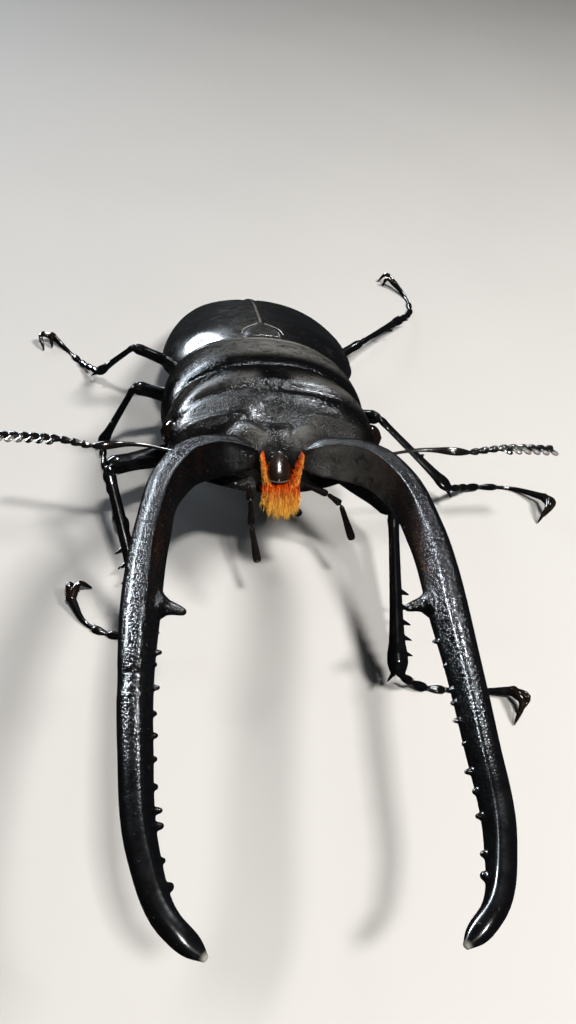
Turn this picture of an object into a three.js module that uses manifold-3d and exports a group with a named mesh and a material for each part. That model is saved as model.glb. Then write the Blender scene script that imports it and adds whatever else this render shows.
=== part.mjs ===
// A large male six-lamella stag beetle (Hexarthrius), standing with its head raised and its jaws spread.
// Millimetres, +Z up. The beetle faces -Y, its left side is +X, and its feet stand on z = 0.
// Two frames are used. The trunk frame has y = 0 at the head's front, y growing towards the tail and z = 0
// along the belly. The floor frame is the finished one. The trunk frame is tilted nose up in it.
import * as THREE from "three";
import { mergeVertices } from "three/addons/utils/BufferGeometryUtils.js";
import Module from "manifold-3d";

const wasm = await Module();
wasm.setup();

// ---------------------------------------------------------------- driving dimensions

const NOSE_UP = THREE.MathUtils.degToRad(13.3); // how far the trunk is pitched, head high
const FRONT_HEIGHT = 11.9; // the belly line above the floor, under the head's front
const GAP = 0.3; // clear space between neighbouring pieces
const WELD = 1e-3; // points closer than this are one point

const HEAD_LENGTH = 14.6;
const HEAD_SWEEP = 3.2; // how far the head's corners lie behind its front, and before its rear
const EYE_PLACE = new THREE.Vector3(11.9, 7.4, 7.6);
const EYE_RADII = new THREE.Vector3(1.5, 2.3, 2.1);
const MID_HEIGHT = 6.3; // the widest level of head and prothorax

const PRONOTUM_FRONT = 14.4;
const PRONOTUM_REAR = 26.3;
const PRONOTUM_FRONT_SWEEP = 4.2; // its front corners reach forward beside the head
const PRONOTUM_REAR_SWEEP = 2.4;
const PROTHORAX_LEAN = -0.6; // the fore body leans a little to its right

const ELYTRA_FRONT = 26.7;
const ELYTRA_REAR = 63.4;
const ELYTRON_THICKNESS = 0.9;
const EDGE_DROP = 1.3; // how far the rolled edge of the wing cases hangs below their widest level
const WAIST_CUT = 43.5; // where the hind thorax ends and the abdomen starts
const SCUTELLUM_LENGTH = 4;
const SCUTELLUM_HALF = 2.7;
const SCUTELLUM_PROUD = 0.25; // how far it stands above the wing cases

const JAW_BOW = { ahead: 30, spread: 15 }; // how far ahead of the head a jaw bows most, and over what length
const JAW_SIDES = 8;
const JAW_STEPS = 18;
const DENTICLES = 7; // small teeth between the great tooth and the tip tooth
const DENTICLE_FIRST = 0.61; // as a share of the jaw's length
const DENTICLE_LAST = 0.87;
const DENTICLE = { height: 0.55, radius: 0.9, lean: 0 };
const GREAT_TOOTH = { share: 0.52, height: 2.3, radius: 1.5, lean: 0.3 };
const TIP_TOOTH = { share: 0.91, height: 0.4, radius: 1.1, lean: 0 };
const TOOTH_POINT = 0.12; // the width of a tooth's point, as a share of its root's

const CLUB_SEGMENTS = 6;
const STALK_SEGMENTS = 3;
const BEAD_RADIUS = 0.42; // of a feeler's or a palp's joint, at its thick end
const BEAD_ROOT = 0.6; // how thick a joint starts, as a share of its thick end
const LEAF = new THREE.Vector3(0, -1.15, -0.15); // how far a club segment's leaf stands out
const LEAF_RADIUS = 0.38;
const PALP_END_RADIUS = 0.5;
const SCAPE_BOW = new THREE.Vector3(0, 0.3, 0.5);
const STALK_BOW = new THREE.Vector3(0, 0, 0.4);
const TOE_JOINTS = 5;
const TOE_RADIUS = 0.42;
const TOE_SINK = 0.06; // how far the foot's underside is worn flat where it stands
const BEAD_SHARE = 0.62; // the part of the foot's length that the short beads take
const BEAD_WAIST = 0.64; // how narrow the foot is between two beads
const SPINE = { first: 0.55, last: 0.85, radius: 0.45, height: 0.7, lean: 0.5 }; // along a tibia's outer edge
const SPUR = { radius: 0.4, root: 0.9, reach: 0.7, spread: 0.5 }; // at a tibia's end, one on each side
const CLAW_SPREAD = 1.1; // how far each hook's tip lies from the middle of the pair
const CLAW_ARCH = 0.5; // how high a hook rises above its root
const CLAW_ROOT_RADIUS = 0.42;
const CLAW_TIP_HEIGHT = 0.2;

const UP = new THREE.Vector3(0, 0, 1);
const STEEP = 0.8; // a peg that rises by more than this share of its length is upright

// ---------------------------------------------------------------- finishes

const shell = (color, roughness) => new THREE.MeshStandardMaterial({ color, roughness, metalness: 0 });
const FINISH = {
  wingCase: shell(0x0b0b0d, 0.25),
  grainy: shell(0x0e0e10, 0.45),
  jaw: shell(0x0c0c0f, 0.35),
  leg: shell(0x0a0a0b, 0.3),
  belly: shell(0x120e0c, 0.4),
  eye: shell(0x24100c, 0.15),
  lip: shell(0x2a160c, 0.2),
  brush: shell(0xc86a14, 0.9),
  feeler: shell(0x17120f, 0.35),
  claw: shell(0x180d08, 0.2),
};

// ---------------------------------------------------------------- forms

// Turns a closed geometry into a solid that can be cut and joined.
function solid(geometry) {
  geometry.deleteAttribute("normal");
  geometry.deleteAttribute("uv");
  const merged = mergeVertices(geometry, WELD);
  return new wasm.Manifold(
    new wasm.Mesh({
      numProp: 3,
      vertProperties: new Float32Array(merged.getAttribute("position").array),
      triVerts: new Uint32Array(merged.index.array),
    }),
  );
}

// Turns a solid back into a geometry for a mesh.
function geometryOf(body) {
  const { vertProperties, triVerts } = body.getMesh();
  const geometry = new THREE.BufferGeometry();
  geometry.setAttribute("position", new THREE.BufferAttribute(vertProperties, 3));
  geometry.setIndex(new THREE.BufferAttribute(triVerts, 1));
  geometry.computeVertexNormals();
  return geometry;
}

// A smooth function through a few [place, value] keys.
function profile(...keys) {
  const curve = new THREE.CubicInterpolant(keys.map((key) => key[0]), keys.map((key) => key[1]), 1);
  return (place) => curve.evaluate(place)[0];
}

// Squares a unit circle's coordinate off: fullness 2 leaves it round, more makes the section boxier.
const squared = (value, fullness) => Math.sign(value) * Math.abs(value) ** (2 / fullness);

// A soft bump of height 1 at the origin of (u, v).
const bump = (u, v) => Math.exp(-u * u - v * v);

// A capped body of sections from t = 0 to t = 1, closer together at its ends. put(point, t, a, b) places the
// point (a, b) of section t's unit circle; (0, 0) is the middle of an end.
function loft(sides, steps, put) {
  const form = new THREE.CylinderGeometry(1, 1, 1, sides, steps);
  const points = form.getAttribute("position");
  const point = new THREE.Vector3();
  for (let i = 0; i < points.count; i += 1) {
    const t = (1 - Math.cos(Math.PI * (points.getY(i) + 0.5))) / 2;
    put(point, t, points.getX(i), points.getZ(i));
    points.setXYZ(i, point.x, point.y, point.z);
  }
  return solid(form);
}

// A length of the trunk along y. half, top, bottom and edge give, at each y, the half width, the highest and
// lowest level and the level where it is widest. sweep says how far the sides of its front and its rear lie
// behind their middle. relief raises the upper face, and grow makes the form larger all round.
function trunkForm({
  from, to, half, top, bottom, edge, sweep = [0, 0], relief = () => 0, fullness = 2.4, sides = 20, steps = 11,
  grow = 0,
}) {
  return loft(sides, steps, (point, t, a, b) => {
    const place = THREE.MathUtils.lerp(from, to, t);
    const across = squared(a, fullness);
    const above = squared(b, fullness);
    const x = (half(place) + grow) * across;
    const front = sweep[0] * across * across - grow;
    const rear = sweep[1] * across * across + grow;
    const y = place + THREE.MathUtils.lerp(front, rear, t);
    const reach = above > 0 ? top(place) + grow - edge(place) : edge(place) - bottom(place) + grow;
    point.set(x, y, edge(place) + reach * above + relief(x, y) * Math.max(above, 0));
  });
}

// A limb along a curve. wide and deep give its half width and half depth at each share of the curve's length;
// the depth is measured towards up.
function limb({ curve, wide, deep = wide, up = UP, fullness = 2, sides = 6, steps = 6, grow = 0 }) {
  const ahead = new THREE.Vector3();
  const aside = new THREE.Vector3();
  const over = new THREE.Vector3();
  const overrun = grow / curve.getLength();
  return loft(sides, steps, (point, t, a, b) => {
    curve.getTangentAt(t, ahead);
    aside.crossVectors(ahead, up).normalize();
    over.crossVectors(aside, ahead);
    curve.getPointAt(t, point);
    point.addScaledVector(ahead, THREE.MathUtils.lerp(-overrun, overrun, t) * curve.getLength());
    point.addScaledVector(aside, (wide(t) + grow) * squared(a, fullness));
    point.addScaledVector(over, (deep(t) + grow) * squared(b, fullness));
  });
}

// A pointed peg: a tooth, spine or spur from root to tip.
function peg(root, tip, radius, { sides = 5, blunt = 0.25 } = {}) {
  const wide = (t) => radius * THREE.MathUtils.lerp(1, blunt, t);
  const up = Math.abs(tip.z - root.z) > STEEP * tip.distanceTo(root) ? new THREE.Vector3(0, 1, 0) : UP;
  return limb({ curve: new THREE.LineCurve3(root, tip), wide, up, sides, steps: 1 });
}

// An egg-shaped solid, grown all round by grow.
function egg(centre, radii, { sides = 12, rings = 8, grow = 0 } = {}) {
  const form = new THREE.SphereGeometry(1, sides, rings);
  form.scale(radii.x + grow, radii.y + grow, radii.z + grow);
  form.translate(centre.x, centre.y, centre.z);
  return solid(form);
}

// A block from one corner to the other, for cutting.
function block(low, high) {
  const form = new THREE.BoxGeometry(high.x - low.x, high.y - low.y, high.z - low.z);
  form.translate((low.x + high.x) / 2, (low.y + high.y) / 2, (low.z + high.z) / 2);
  return solid(form);
}

const FAR = 200; // beyond every part of the beetle
const vector = (x, y, z) => new THREE.Vector3(x, y, z);
const curveThrough = (points) => new THREE.CatmullRomCurve3(points, false, "centripetal");
const joined = (first, ...rest) => rest.reduce((whole, piece) => whole.add(piece), first);
const mirrored = (point, side) => new THREE.Vector3(point.x * side, point.y, point.z);
const SIDES = [["l", 1], ["r", -1]];

// ---------------------------------------------------------------- the finished group

const beetle = new THREE.Group();
const trunk = new THREE.Group();
trunk.rotation.x = -NOSE_UP;
trunk.position.set(0, 0, FRONT_HEIGHT);
trunk.updateMatrix();
beetle.add(trunk);

function addPiece(group, name, body, material) {
  const mesh = new THREE.Mesh(geometryOf(body), material);
  mesh.name = name;
  group.add(mesh);
}

// ---------------------------------------------------------------- head

const headKeys = {
  from: 0,
  to: HEAD_LENGTH,
  half: profile([0, 10.6], [3, 12], [6, 12.3], [9.5, 12], [12, 11.4], [HEAD_LENGTH, 10.6]),
  top: profile([0, 8.7], [3, 10.2], [7, 11.6], [11, 12.9], [HEAD_LENGTH, 13.1]),
  bottom: profile([0, 3.4], [4, 1.6], [9, 0.8], [HEAD_LENGTH, 0.9]),
  edge: () => MID_HEIGHT,
  sweep: [HEAD_SWEEP, -HEAD_SWEEP],
  // two brow humps above the jaws, and a hollow between and behind them
  relief: (x, y) =>
    1.1 * bump((Math.abs(x) - 2.7) / 1.5, (y - 2) / 1.5) - 0.8 * bump(x / 3.2, (y - 4.2) / 3),
  fullness: 2.7,
  sides: 16,
  steps: 7,
};
const neckKeys = {
  from: 11,
  to: 17.5,
  half: () => 8.2,
  top: () => 10.6,
  bottom: () => 2.2,
  edge: () => MID_HEIGHT,
  sides: 8,
  steps: 1,
};

const headForm = (grow) => joined(trunkForm({ ...headKeys, grow }), trunkForm({ ...neckKeys, grow }));
const eyeForm = (side, grow = 0) => egg(mirrored(EYE_PLACE, side), EYE_RADII, { sides: 8, rings: 6, grow });

// ---------------------------------------------------------------- jaws

// Both jaws leave the head's front sideways, bend forward, run almost straight and hook in at the tip. The
// right one is held a little wider open, on a hinge a little nearer the middle, and bows out a little more.
const JAW_POSE = {
  [1]: { shift: 0.5, bow: -0.2, open: THREE.MathUtils.degToRad(-1.1) },
  [-1]: { shift: -0.6, bow: 0.7, open: THREE.MathUtils.degToRad(0.4) },
};

function jawCurve(side) {
  const { shift, bow, open } = JAW_POSE[side];
  const line = [
    vector(2.6, 0.6, 7.6),
    vector(6.5, 0.5, 7.8),
    vector(10, -1.2, 7.8),
    vector(12, -4.8, 7.6),
    vector(13.2, -13, 7.2),
    vector(13.25, -25, 5.9),
    vector(12.9, -36, 4),
    vector(12.3, -43.5, 2.3),
    vector(10.9, -47.5, 1.3),
    vector(8.4, -49.8, 0.7),
  ];
  return curveThrough(line.map((point) => {
    const opened = point.applyAxisAngle(UP, open);
    opened.x += shift * Math.min(1, point.x / 10) + bow * bump((point.y + JAW_BOW.ahead) / JAW_BOW.spread, 0);
    return mirrored(opened, side);
  }));
}

const jawWide = profile([0, 1], [0.03, 1.6], [0.07, 1.9], [0.14, 2], [0.25, 1.85], [0.4, 1.7], [0.52, 1.6],
  [0.62, 1.3], [0.75, 1.1], [0.9, 0.9], [0.97, 0.6], [1, 0.25]);
const jawDeep = profile([0, 1.2], [0.03, 2], [0.07, 2.4], [0.14, 2.5], [0.3, 2.2], [0.5, 1.8], [0.7, 1.35],
  [0.9, 1], [1, 0.25]);

const jawForm = (side, grow = 0) =>
  limb({
    curve: jawCurve(side),
    wide: jawWide,
    deep: jawDeep,
    fullness: 2.4,
    sides: JAW_SIDES,
    steps: JAW_STEPS,
    grow,
  });

// A tooth on the jaw's inner face, at a share of its length. It stands out by height and leans ahead by lean.
function jawTooth(side, { share, height, radius, lean }) {
  const curve = jawCurve(side);
  const root = curve.getPointAt(share);
  const ahead = curve.getTangentAt(share);
  const inward = new THREE.Vector3().crossVectors(ahead, UP).normalize().multiplyScalar(side);
  const tip = root.clone().addScaledVector(inward, jawWide(share) + height).addScaledVector(ahead, lean);
  return peg(root, tip, radius, { sides: 3, blunt: TOOTH_POINT });
}

function jaw(side) {
  const teeth = [jawTooth(side, GREAT_TOOTH), jawTooth(side, TIP_TOOTH)];
  for (let i = 0; i < DENTICLES; i += 1) {
    const share = THREE.MathUtils.lerp(DENTICLE_FIRST, DENTICLE_LAST, i / (DENTICLES - 1));
    teeth.push(jawTooth(side, { ...DENTICLE, share }));
  }
  return joined(jawForm(side), ...teeth);
}

// ---------------------------------------------------------------- prothorax, hind body and wing cases

const prothoraxKeys = {
  from: PRONOTUM_FRONT,
  to: PRONOTUM_REAR,
  half: profile([PRONOTUM_FRONT, 12], [17, 12.6], [20, 12.6], [23.5, 12.1], [PRONOTUM_REAR, 11.2]),
  top: profile([PRONOTUM_FRONT, 12.3], [17, 12.9], [21, 13], [24, 12.6], [PRONOTUM_REAR, 11.8]),
  bottom: profile([PRONOTUM_FRONT, 1.6], [18, 0.6], [PRONOTUM_REAR, 1]),
  edge: () => MID_HEIGHT,
  sweep: [-PRONOTUM_FRONT_SWEEP, -PRONOTUM_REAR_SWEEP],
  sides: 16,
  steps: 6,
};
const waistKeys = {
  from: 24,
  to: 30,
  half: () => 9.5,
  top: () => 10.4,
  bottom: () => 2,
  edge: () => MID_HEIGHT,
  sides: 8,
  steps: 1,
};
const hindKeys = {
  from: ELYTRA_FRONT,
  to: ELYTRA_REAR,
  half: profile([ELYTRA_FRONT, 11.6], [30, 13.1], [36, 13.5], [44, 12.5], [51, 10.8], [57, 8.6], [61, 6.1],
    [ELYTRA_REAR, 2.8]),
  top: profile([ELYTRA_FRONT, 12], [31, 12.3], [38, 11.6], [46, 10.4], [53, 8.7], [59, 6.7],
    [ELYTRA_REAR, 5]),
  bottom: profile([ELYTRA_FRONT, 1.4], [32, 0.3], [40, 0.2], [50, 0.9], [58, 2.1], [ELYTRA_REAR, 3.2]),
  edge: profile([ELYTRA_FRONT, 6.2], [40, 6], [55, 5.2], [ELYTRA_REAR, 4.5]),
  sweep: [-1.4, 0],
  fullness: 1.9,
  sides: 16,
  steps: 8,
};

const prothoraxForm = (grow) => trunkForm({ ...prothoraxKeys, grow }).translate([PROTHORAX_LEAN, 0, 0]);
const hindForm = (grow) => trunkForm({ ...hindKeys, grow });
const waistForm = (grow) => trunkForm({ ...waistKeys, grow });

// Everything below the rolled edge of the wing cases, lowered by drop.
function underEdge(drop) {
  const front = hindKeys.edge(ELYTRA_FRONT) - EDGE_DROP - drop;
  const rear = hindKeys.edge(ELYTRA_REAR) - EDGE_DROP - drop;
  const slope = Math.atan2(rear - front, ELYTRA_REAR - ELYTRA_FRONT);
  const form = new THREE.BoxGeometry(FAR, FAR, FAR);
  form.translate(0, 0, -FAR / 2);
  form.rotateX(slope);
  form.translate(0, ELYTRA_FRONT, front);
  return solid(form);
}

// The scutellum: a small shield between the wing cases' bases, standing a little proud of them.
function scutellumForm(grow) {
  return trunkForm({
    from: ELYTRA_FRONT,
    to: ELYTRA_FRONT + SCUTELLUM_LENGTH,
    half: profile([ELYTRA_FRONT, SCUTELLUM_HALF], [ELYTRA_FRONT + 2, 2.3],
      [ELYTRA_FRONT + SCUTELLUM_LENGTH, 0.5]),
    top: (y) => hindKeys.top(y) + SCUTELLUM_PROUD,
    bottom: (y) => hindKeys.top(y) - ELYTRON_THICKNESS,
    edge: (y) => hindKeys.top(y) - ELYTRON_THICKNESS / 2,
    sides: 8,
    steps: 4,
    grow,
  });
}

// ---------------------------------------------------------------- legs

// One pair of legs: where its coxa lies under the trunk, and the lengths and thicknesses of its pieces.
const LEG_PAIRS = {
  fore: {
    coxa: vector(4.4, 17, 1.2),
    femur: 17,
    tibia: 19.6,
    femurRadius: 1.35,
    tibiaRadius: 0.85,
    spines: 4,
  },
  mid: {
    coxa: vector(4.9, 29, 1),
    femur: 15.1,
    tibia: 14.2,
    femurRadius: 1.2,
    tibiaRadius: 0.68,
    spines: 1,
  },
  hind: {
    coxa: vector(4.7, 38.5, 1),
    femur: 16.3,
    tibia: 15,
    femurRadius: 1.1,
    tibiaRadius: 0.62,
    spines: 1,
  },
};
const COXA_RADII = vector(2.9, 1.8, 1.7);
const HIP_OUT = 1.5; // from the coxa's middle to the hip, sideways
const HIP_DOWN = 0.7;
const FEMUR_FLATNESS = 0.75; // how narrow a femur is for its depth
const TIBIA_FLATNESS = 0.8;

// How each leg stands on the floor: its ankle, the way its knee bends, the line of its foot, and the root and
// the tip of its claws.
const STANCE = [
  { pair: "fore", side: 1, ankle: vector(13.8, -15.4, 2.9), knee: vector(4.6, 0.3, 4.5),
    toes: [[17.6, -15.6], [22.9, -16.1]], clawRoot: vector(27.5, -16.8, 1.3), clawTip: [27.3, -20.5] },
  { pair: "fore", side: -1, ankle: vector(-14.2, -9, 3), knee: vector(-9.5, 1.3, 6.7),
    toes: [[-17.4, -8.1], [-21.6, -6.1]], clawRoot: vector(-23.4, -3.2, 1.3), clawTip: [-21.6, -0.6] },
  { pair: "mid", side: 1, ankle: vector(25.9, 13.2, 4.4), knee: vector(-1.7, -2.6, 9.5),
    toes: [[32.7, 17.8], [37.5, 17.6]], clawRoot: vector(41.2, 14.6, 1.6), clawTip: [39.9, 10.6] },
  { pair: "mid", side: -1, ankle: vector(-22.1, 24.8, 1.2), knee: vector(-1.5, -4.2, 9),
    toes: [[-21, 18.6], [-19.8, 14.1]], clawRoot: vector(-18.9, 9.9, 1.3), clawTip: [-17, 7.4] },
  { pair: "hind", side: 1, ankle: vector(28.1, 59.4, 2.2), knee: vector(0.4, -0.8, 1),
    toes: [[31.3, 65.2], [31.3, 70.6]], clawRoot: vector(29.6, 73.6, 1.3), clawTip: [26.6, 75.6] },
  { pair: "hind", side: -1, ankle: vector(-23.7, 39.8, 2.6), knee: vector(-1.8, -7.6, 10.5),
    toes: [[-27.4, 45.6], [-30.3, 49.4]], clawRoot: vector(-32.2, 51, 1.3), clawTip: [-32.9, 48.2] },
];

const coxaForm = (stance, grow = 0) =>
  egg(mirrored(LEG_PAIRS[stance.pair].coxa, stance.side), COXA_RADII, { sides: 7, rings: 4, grow });

// The hip in the floor frame.
function hipOf({ pair, side }) {
  const hip = mirrored(LEG_PAIRS[pair].coxa, side).add(vector(HIP_OUT * side, 0, -HIP_DOWN));
  return hip.applyMatrix4(trunk.matrix);
}

// The knee lies where the femur and the tibia meet, on the side that the knee bends to.
function kneeOf(stance) {
  const { femur, tibia } = LEG_PAIRS[stance.pair];
  const hip = hipOf(stance);
  const line = stance.ankle.clone().sub(hip);
  const reach = Math.min(line.length(), femur + tibia - WELD);
  line.normalize();
  const along = (femur ** 2 - tibia ** 2 + reach ** 2) / (2 * reach);
  const bend = stance.knee.clone().addScaledVector(line, -stance.knee.dot(line)).normalize();
  return hip.addScaledVector(line, along).addScaledVector(bend, Math.sqrt(femur ** 2 - along ** 2));
}

function femurForm(stance, grow = 0) {
  const { femurRadius } = LEG_PAIRS[stance.pair];
  const swell = profile([0, 0.7], [0.2, 1], [0.6, 1], [0.9, 0.85], [1, 0.6]);
  return limb({
    curve: new THREE.LineCurve3(hipOf(stance), kneeOf(stance)),
    wide: (t) => femurRadius * FEMUR_FLATNESS * swell(t),
    deep: (t) => femurRadius * swell(t),
    sides: 6,
    steps: 4,
    grow,
  });
}

const floorCut = block(vector(-FAR, -FAR, -FAR), vector(FAR, FAR, 0));

function tibiaForm(stance, grow = 0) {
  const { tibiaRadius } = LEG_PAIRS[stance.pair];
  const swell = profile([0, 0.85], [0.3, 0.8], [0.8, 1.1], [0.95, 1.35], [1, 0.9]);
  return limb({
    curve: new THREE.LineCurve3(kneeOf(stance), stance.ankle),
    wide: (t) => tibiaRadius * TIBIA_FLATNESS * swell(t),
    deep: (t) => tibiaRadius * swell(t),
    sides: 6,
    steps: 4,
    grow,
  });
}

// The spines along the outer edge of a tibia, and the two spurs at its end.
function tibiaSpines(stance) {
  const { tibiaRadius, spines } = LEG_PAIRS[stance.pair];
  const knee = kneeOf(stance);
  const ahead = stance.ankle.clone().sub(knee).normalize();
  const outer = new THREE.Vector3().crossVectors(ahead, UP).normalize();
  outer.multiplyScalar(Math.sign(outer.x * stance.side) || 1);
  const pegs = [];
  for (let i = 0; i < spines; i += 1) {
    const share = THREE.MathUtils.lerp(SPINE.first, SPINE.last, spines > 1 ? i / (spines - 1) : 0);
    const root = knee.clone().lerp(stance.ankle, share);
    const tip = root.clone().addScaledVector(ahead, SPINE.lean);
    tip.addScaledVector(outer, tibiaRadius + SPINE.height);
    pegs.push(peg(root, tip, SPINE.radius, { sides: 3 }));
  }
  for (const way of [1, -1]) {
    const root = stance.ankle.clone().addScaledVector(ahead, -SPUR.root);
    const tip = stance.ankle.clone().addScaledVector(ahead, SPUR.reach);
    tip.addScaledVector(outer, way * (tibiaRadius + SPUR.spread));
    pegs.push(peg(root, tip, SPUR.radius, { sides: 3 }));
  }
  return pegs;
}

// The foot: four short beads and a long last joint, on flats where the beads touch the floor.
function footCurve(stance) {
  const onFloor = stance.toes.map(([x, y]) => vector(x, y, TOE_RADIUS - TOE_SINK));
  return curveThrough([stance.ankle, ...onFloor, stance.clawRoot]);
}

function footForm(stance, grow = 0) {
  const beaded = (t) => {
    if (t > BEAD_SHARE) {
      return THREE.MathUtils.mapLinear(t, BEAD_SHARE, 1, BEAD_WAIST, 1);
    }
    const bead = (t / BEAD_SHARE) * (TOE_JOINTS - 1);
    return THREE.MathUtils.lerp(BEAD_WAIST, 1, bead - Math.floor(bead));
  };
  return limb({ curve: footCurve(stance), wide: (t) => TOE_RADIUS * beaded(t), sides: 5, steps: 11, grow });
}

// A pair of hooked claws on one root. Each hook arches out of the foot and bends down to its tip.
function clawsForm(stance) {
  const root = stance.clawRoot;
  const ahead = footCurve(stance).getTangentAt(1);
  const tipMiddle = vector(stance.clawTip[0], stance.clawTip[1], CLAW_TIP_HEIGHT);
  const out = tipMiddle.clone().sub(root);
  const aside = new THREE.Vector3().crossVectors(out, UP).normalize();
  const wide = profile([0, 0.32], [0.5, 0.3], [1, 0.12]);
  const start = root.clone().addScaledVector(ahead, -CLAW_TIP_HEIGHT);
  const hooks = [1, -1].map((way) => {
    const middle = root.clone().add(ahead).addScaledVector(out, 0.45).addScaledVector(aside, way * 0.9);
    middle.z = root.z + CLAW_ARCH;
    const tip = tipMiddle.clone().addScaledVector(aside, way * CLAW_SPREAD);
    return limb({ curve: curveThrough([start, middle, tip]), wide, sides: 4, steps: 4 });
  });
  const rootRadii = vector(CLAW_ROOT_RADIUS, CLAW_ROOT_RADIUS, CLAW_ROOT_RADIUS);
  return joined(...hooks, egg(root, rootRadii, { sides: 4, rings: 2 }));
}

// ---------------------------------------------------------------- antennae and mouth

// Each antenna in the trunk frame: a long scape out to an elbow, then a beaded stalk and a comb-like club.
const ANTENNAE = {
  l: { root: vector(11.2, 3, 6.6), elbow: vector(22.4, 2.2, 8), tip: vector(33.2, 3, 7.2) },
  r: { root: vector(-10.4, 3, 6.6), elbow: vector(-20.2, 1.8, 8), tip: vector(-30.4, 4.4, 7.8) },
};

function scapeForm({ root, elbow }, grow = 0) {
  const middle = root.clone().lerp(elbow, 0.5).add(SCAPE_BOW);
  const wide = profile([0, 0.35], [0.8, 0.36], [1, 0.5]);
  return limb({ curve: curveThrough([root, middle, elbow]), wide, steps: 5, grow });
}

// The stalk's beads, each thin where it enters the one before it. The last ones each bear a leaf in front.
function flagellumForm({ elbow, tip }) {
  const count = STALK_SEGMENTS + CLUB_SEGMENTS;
  const curve = curveThrough([elbow, elbow.clone().lerp(tip, 0.5).add(STALK_BOW), tip]);
  const pieces = [];
  for (let i = 0; i < count; i += 1) {
    const start = curve.getPointAt(i / count);
    const end = curve.getPointAt((i + 1) / count);
    start.lerp(end, i > 0 ? -GAP : 0);
    pieces.push(peg(end, start, BEAD_RADIUS, { sides: 4, blunt: BEAD_ROOT }));
    if (i >= STALK_SEGMENTS) {
      const root = end.clone().lerp(start, 0.35);
      pieces.push(peg(root, end.clone().add(LEAF), LEAF_RADIUS, { sides: 3, blunt: BEAD_ROOT }));
    }
  }
  return joined(...pieces);
}

// The palps, jointed feelers below the mouth, each through its joints and thicker towards its tip.
const PALPS = {
  maxillary_palp_l: [
    vector(3, -0.2, 4.8),
    vector(6, 0.2, 3.3),
    vector(7.6, -0.1, 2.2),
    vector(9.2, -1.7, -1.8),
  ],
  maxillary_palp_r: [
    vector(-3.2, -0.4, 4.8),
    vector(-2.9, -0.9, 3),
    vector(-2.7, -2, 0.4),
    vector(-1.9, -4, -3.4),
  ],
  labial_palp_l: [vector(1.2, -0.3, 3.2), vector(2, -1.8, 2.9), vector(2.4, -3.1, 2.6)],
  labial_palp_r: [vector(-1.2, -0.3, 3.2), vector(-1.4, -1.2, 2.8), vector(-1.3, -2.2, 2.2)],
};

function palpForm(points) {
  const pieces = [];
  for (let i = 1; i < points.length; i += 1) {
    const radius = i === points.length - 1 ? PALP_END_RADIUS : BEAD_RADIUS;
    pieces.push(peg(points[i], points[i - 1], radius, { sides: 4, blunt: BEAD_ROOT }));
  }
  return joined(...pieces);
}

const lipForm = (grow) =>
  trunkForm({
    from: -2.1,
    to: -0.3,
    half: () => 1.4,
    top: profile([-2.1, 6.9], [-0.3, 8.4]),
    bottom: () => 6,
    edge: () => 6.6,
    sides: 10,
    steps: 2,
    grow,
  });

const brushForm = (grow) =>
  limb({
    curve: curveThrough([
      vector(0, -0.3, 5),
      vector(0, -1.8, 4.8),
      vector(0, -2.8, 3.8),
      vector(0, -3.3, 2.5),
    ]),
    wide: profile([0, 1.7], [0.5, 2.2], [0.85, 1.8], [1, 1]),
    deep: profile([0, 0.9], [0.5, 1.1], [1, 0.5]),
    sides: 8,
    steps: 3,
    grow,
  });

// ---------------------------------------------------------------- putting it together

const inTrunk = new THREE.Matrix4().copy(trunk.matrix).invert();
const toTrunk = (body) => body.transform(inTrunk.elements);

// Cuts the cutters out of a body, and drops any sliver that the cuts leave loose.
function without(body, ...cutters) {
  const pieces = cutters.reduce((left, cutter) => left.subtract(cutter), body).decompose();
  return pieces.reduce((largest, piece) => (piece.volume() > largest.volume() ? piece : largest));
}

// The trunk gives way to the legs that pass under it.
const legRoom = (...pairs) =>
  STANCE.filter(({ pair }) => pairs.includes(pair)).flatMap((stance) => [
    coxaForm(stance, GAP),
    toTrunk(femurForm(stance, GAP)),
  ]);

let head = headForm(0);
for (const [letter, side] of SIDES) {
  head = without(head, jawForm(side, GAP), eyeForm(side, GAP), scapeForm(ANTENNAE[letter], GAP));
}
const mouthRoom = [lipForm(GAP), brushForm(GAP)];
addPiece(trunk, "head", without(head, ...mouthRoom, ...legRoom("fore")), FINISH.grainy);
for (const [letter, side] of SIDES) {
  addPiece(trunk, `eye_${letter}`, eyeForm(side), FINISH.eye);
  addPiece(trunk, `mandible_${letter}`, jaw(side), FINISH.jaw);
  const scape = without(scapeForm(ANTENNAE[letter]), jawForm(side, GAP));
  addPiece(trunk, `antenna_scape_${letter}`, scape, FINISH.feeler);
  const club = without(flagellumForm(ANTENNAE[letter]), scapeForm(ANTENNAE[letter], GAP));
  addPiece(trunk, `antenna_club_${letter}`, club, FINISH.feeler);
}
addPiece(trunk, "labrum", lipForm(0), FINISH.lip);
addPiece(trunk, "mouth_brush", without(brushForm(0), lipForm(GAP)), FINISH.brush);
for (const [name, points] of Object.entries(PALPS)) {
  addPiece(trunk, name, without(palpForm(points), headForm(GAP), brushForm(GAP)), FINISH.feeler);
}

addPiece(
  trunk,
  "pronotum",
  without(prothoraxForm(0), headForm(GAP), waistForm(GAP), ...legRoom("fore", "mid")),
  FINISH.grainy,
);

const wingCases = without(
  hindForm(0),
  hindForm(-ELYTRON_THICKNESS),
  underEdge(0),
  waistForm(GAP),
  scutellumForm(GAP),
  ...legRoom("mid", "hind"),
);
for (const [letter, side] of SIDES) {
  const otherSide = block(vector(-FAR, -FAR, -FAR), vector(FAR, FAR, FAR));
  const seam = [(GAP / 2 - FAR) * side, 0, 0];
  addPiece(trunk, `elytron_${letter}`, without(wingCases, otherSide.translate(seam)), FINISH.wingCase);
}
addPiece(trunk, "scutellum", scutellumForm(0), FINISH.grainy);

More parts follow.
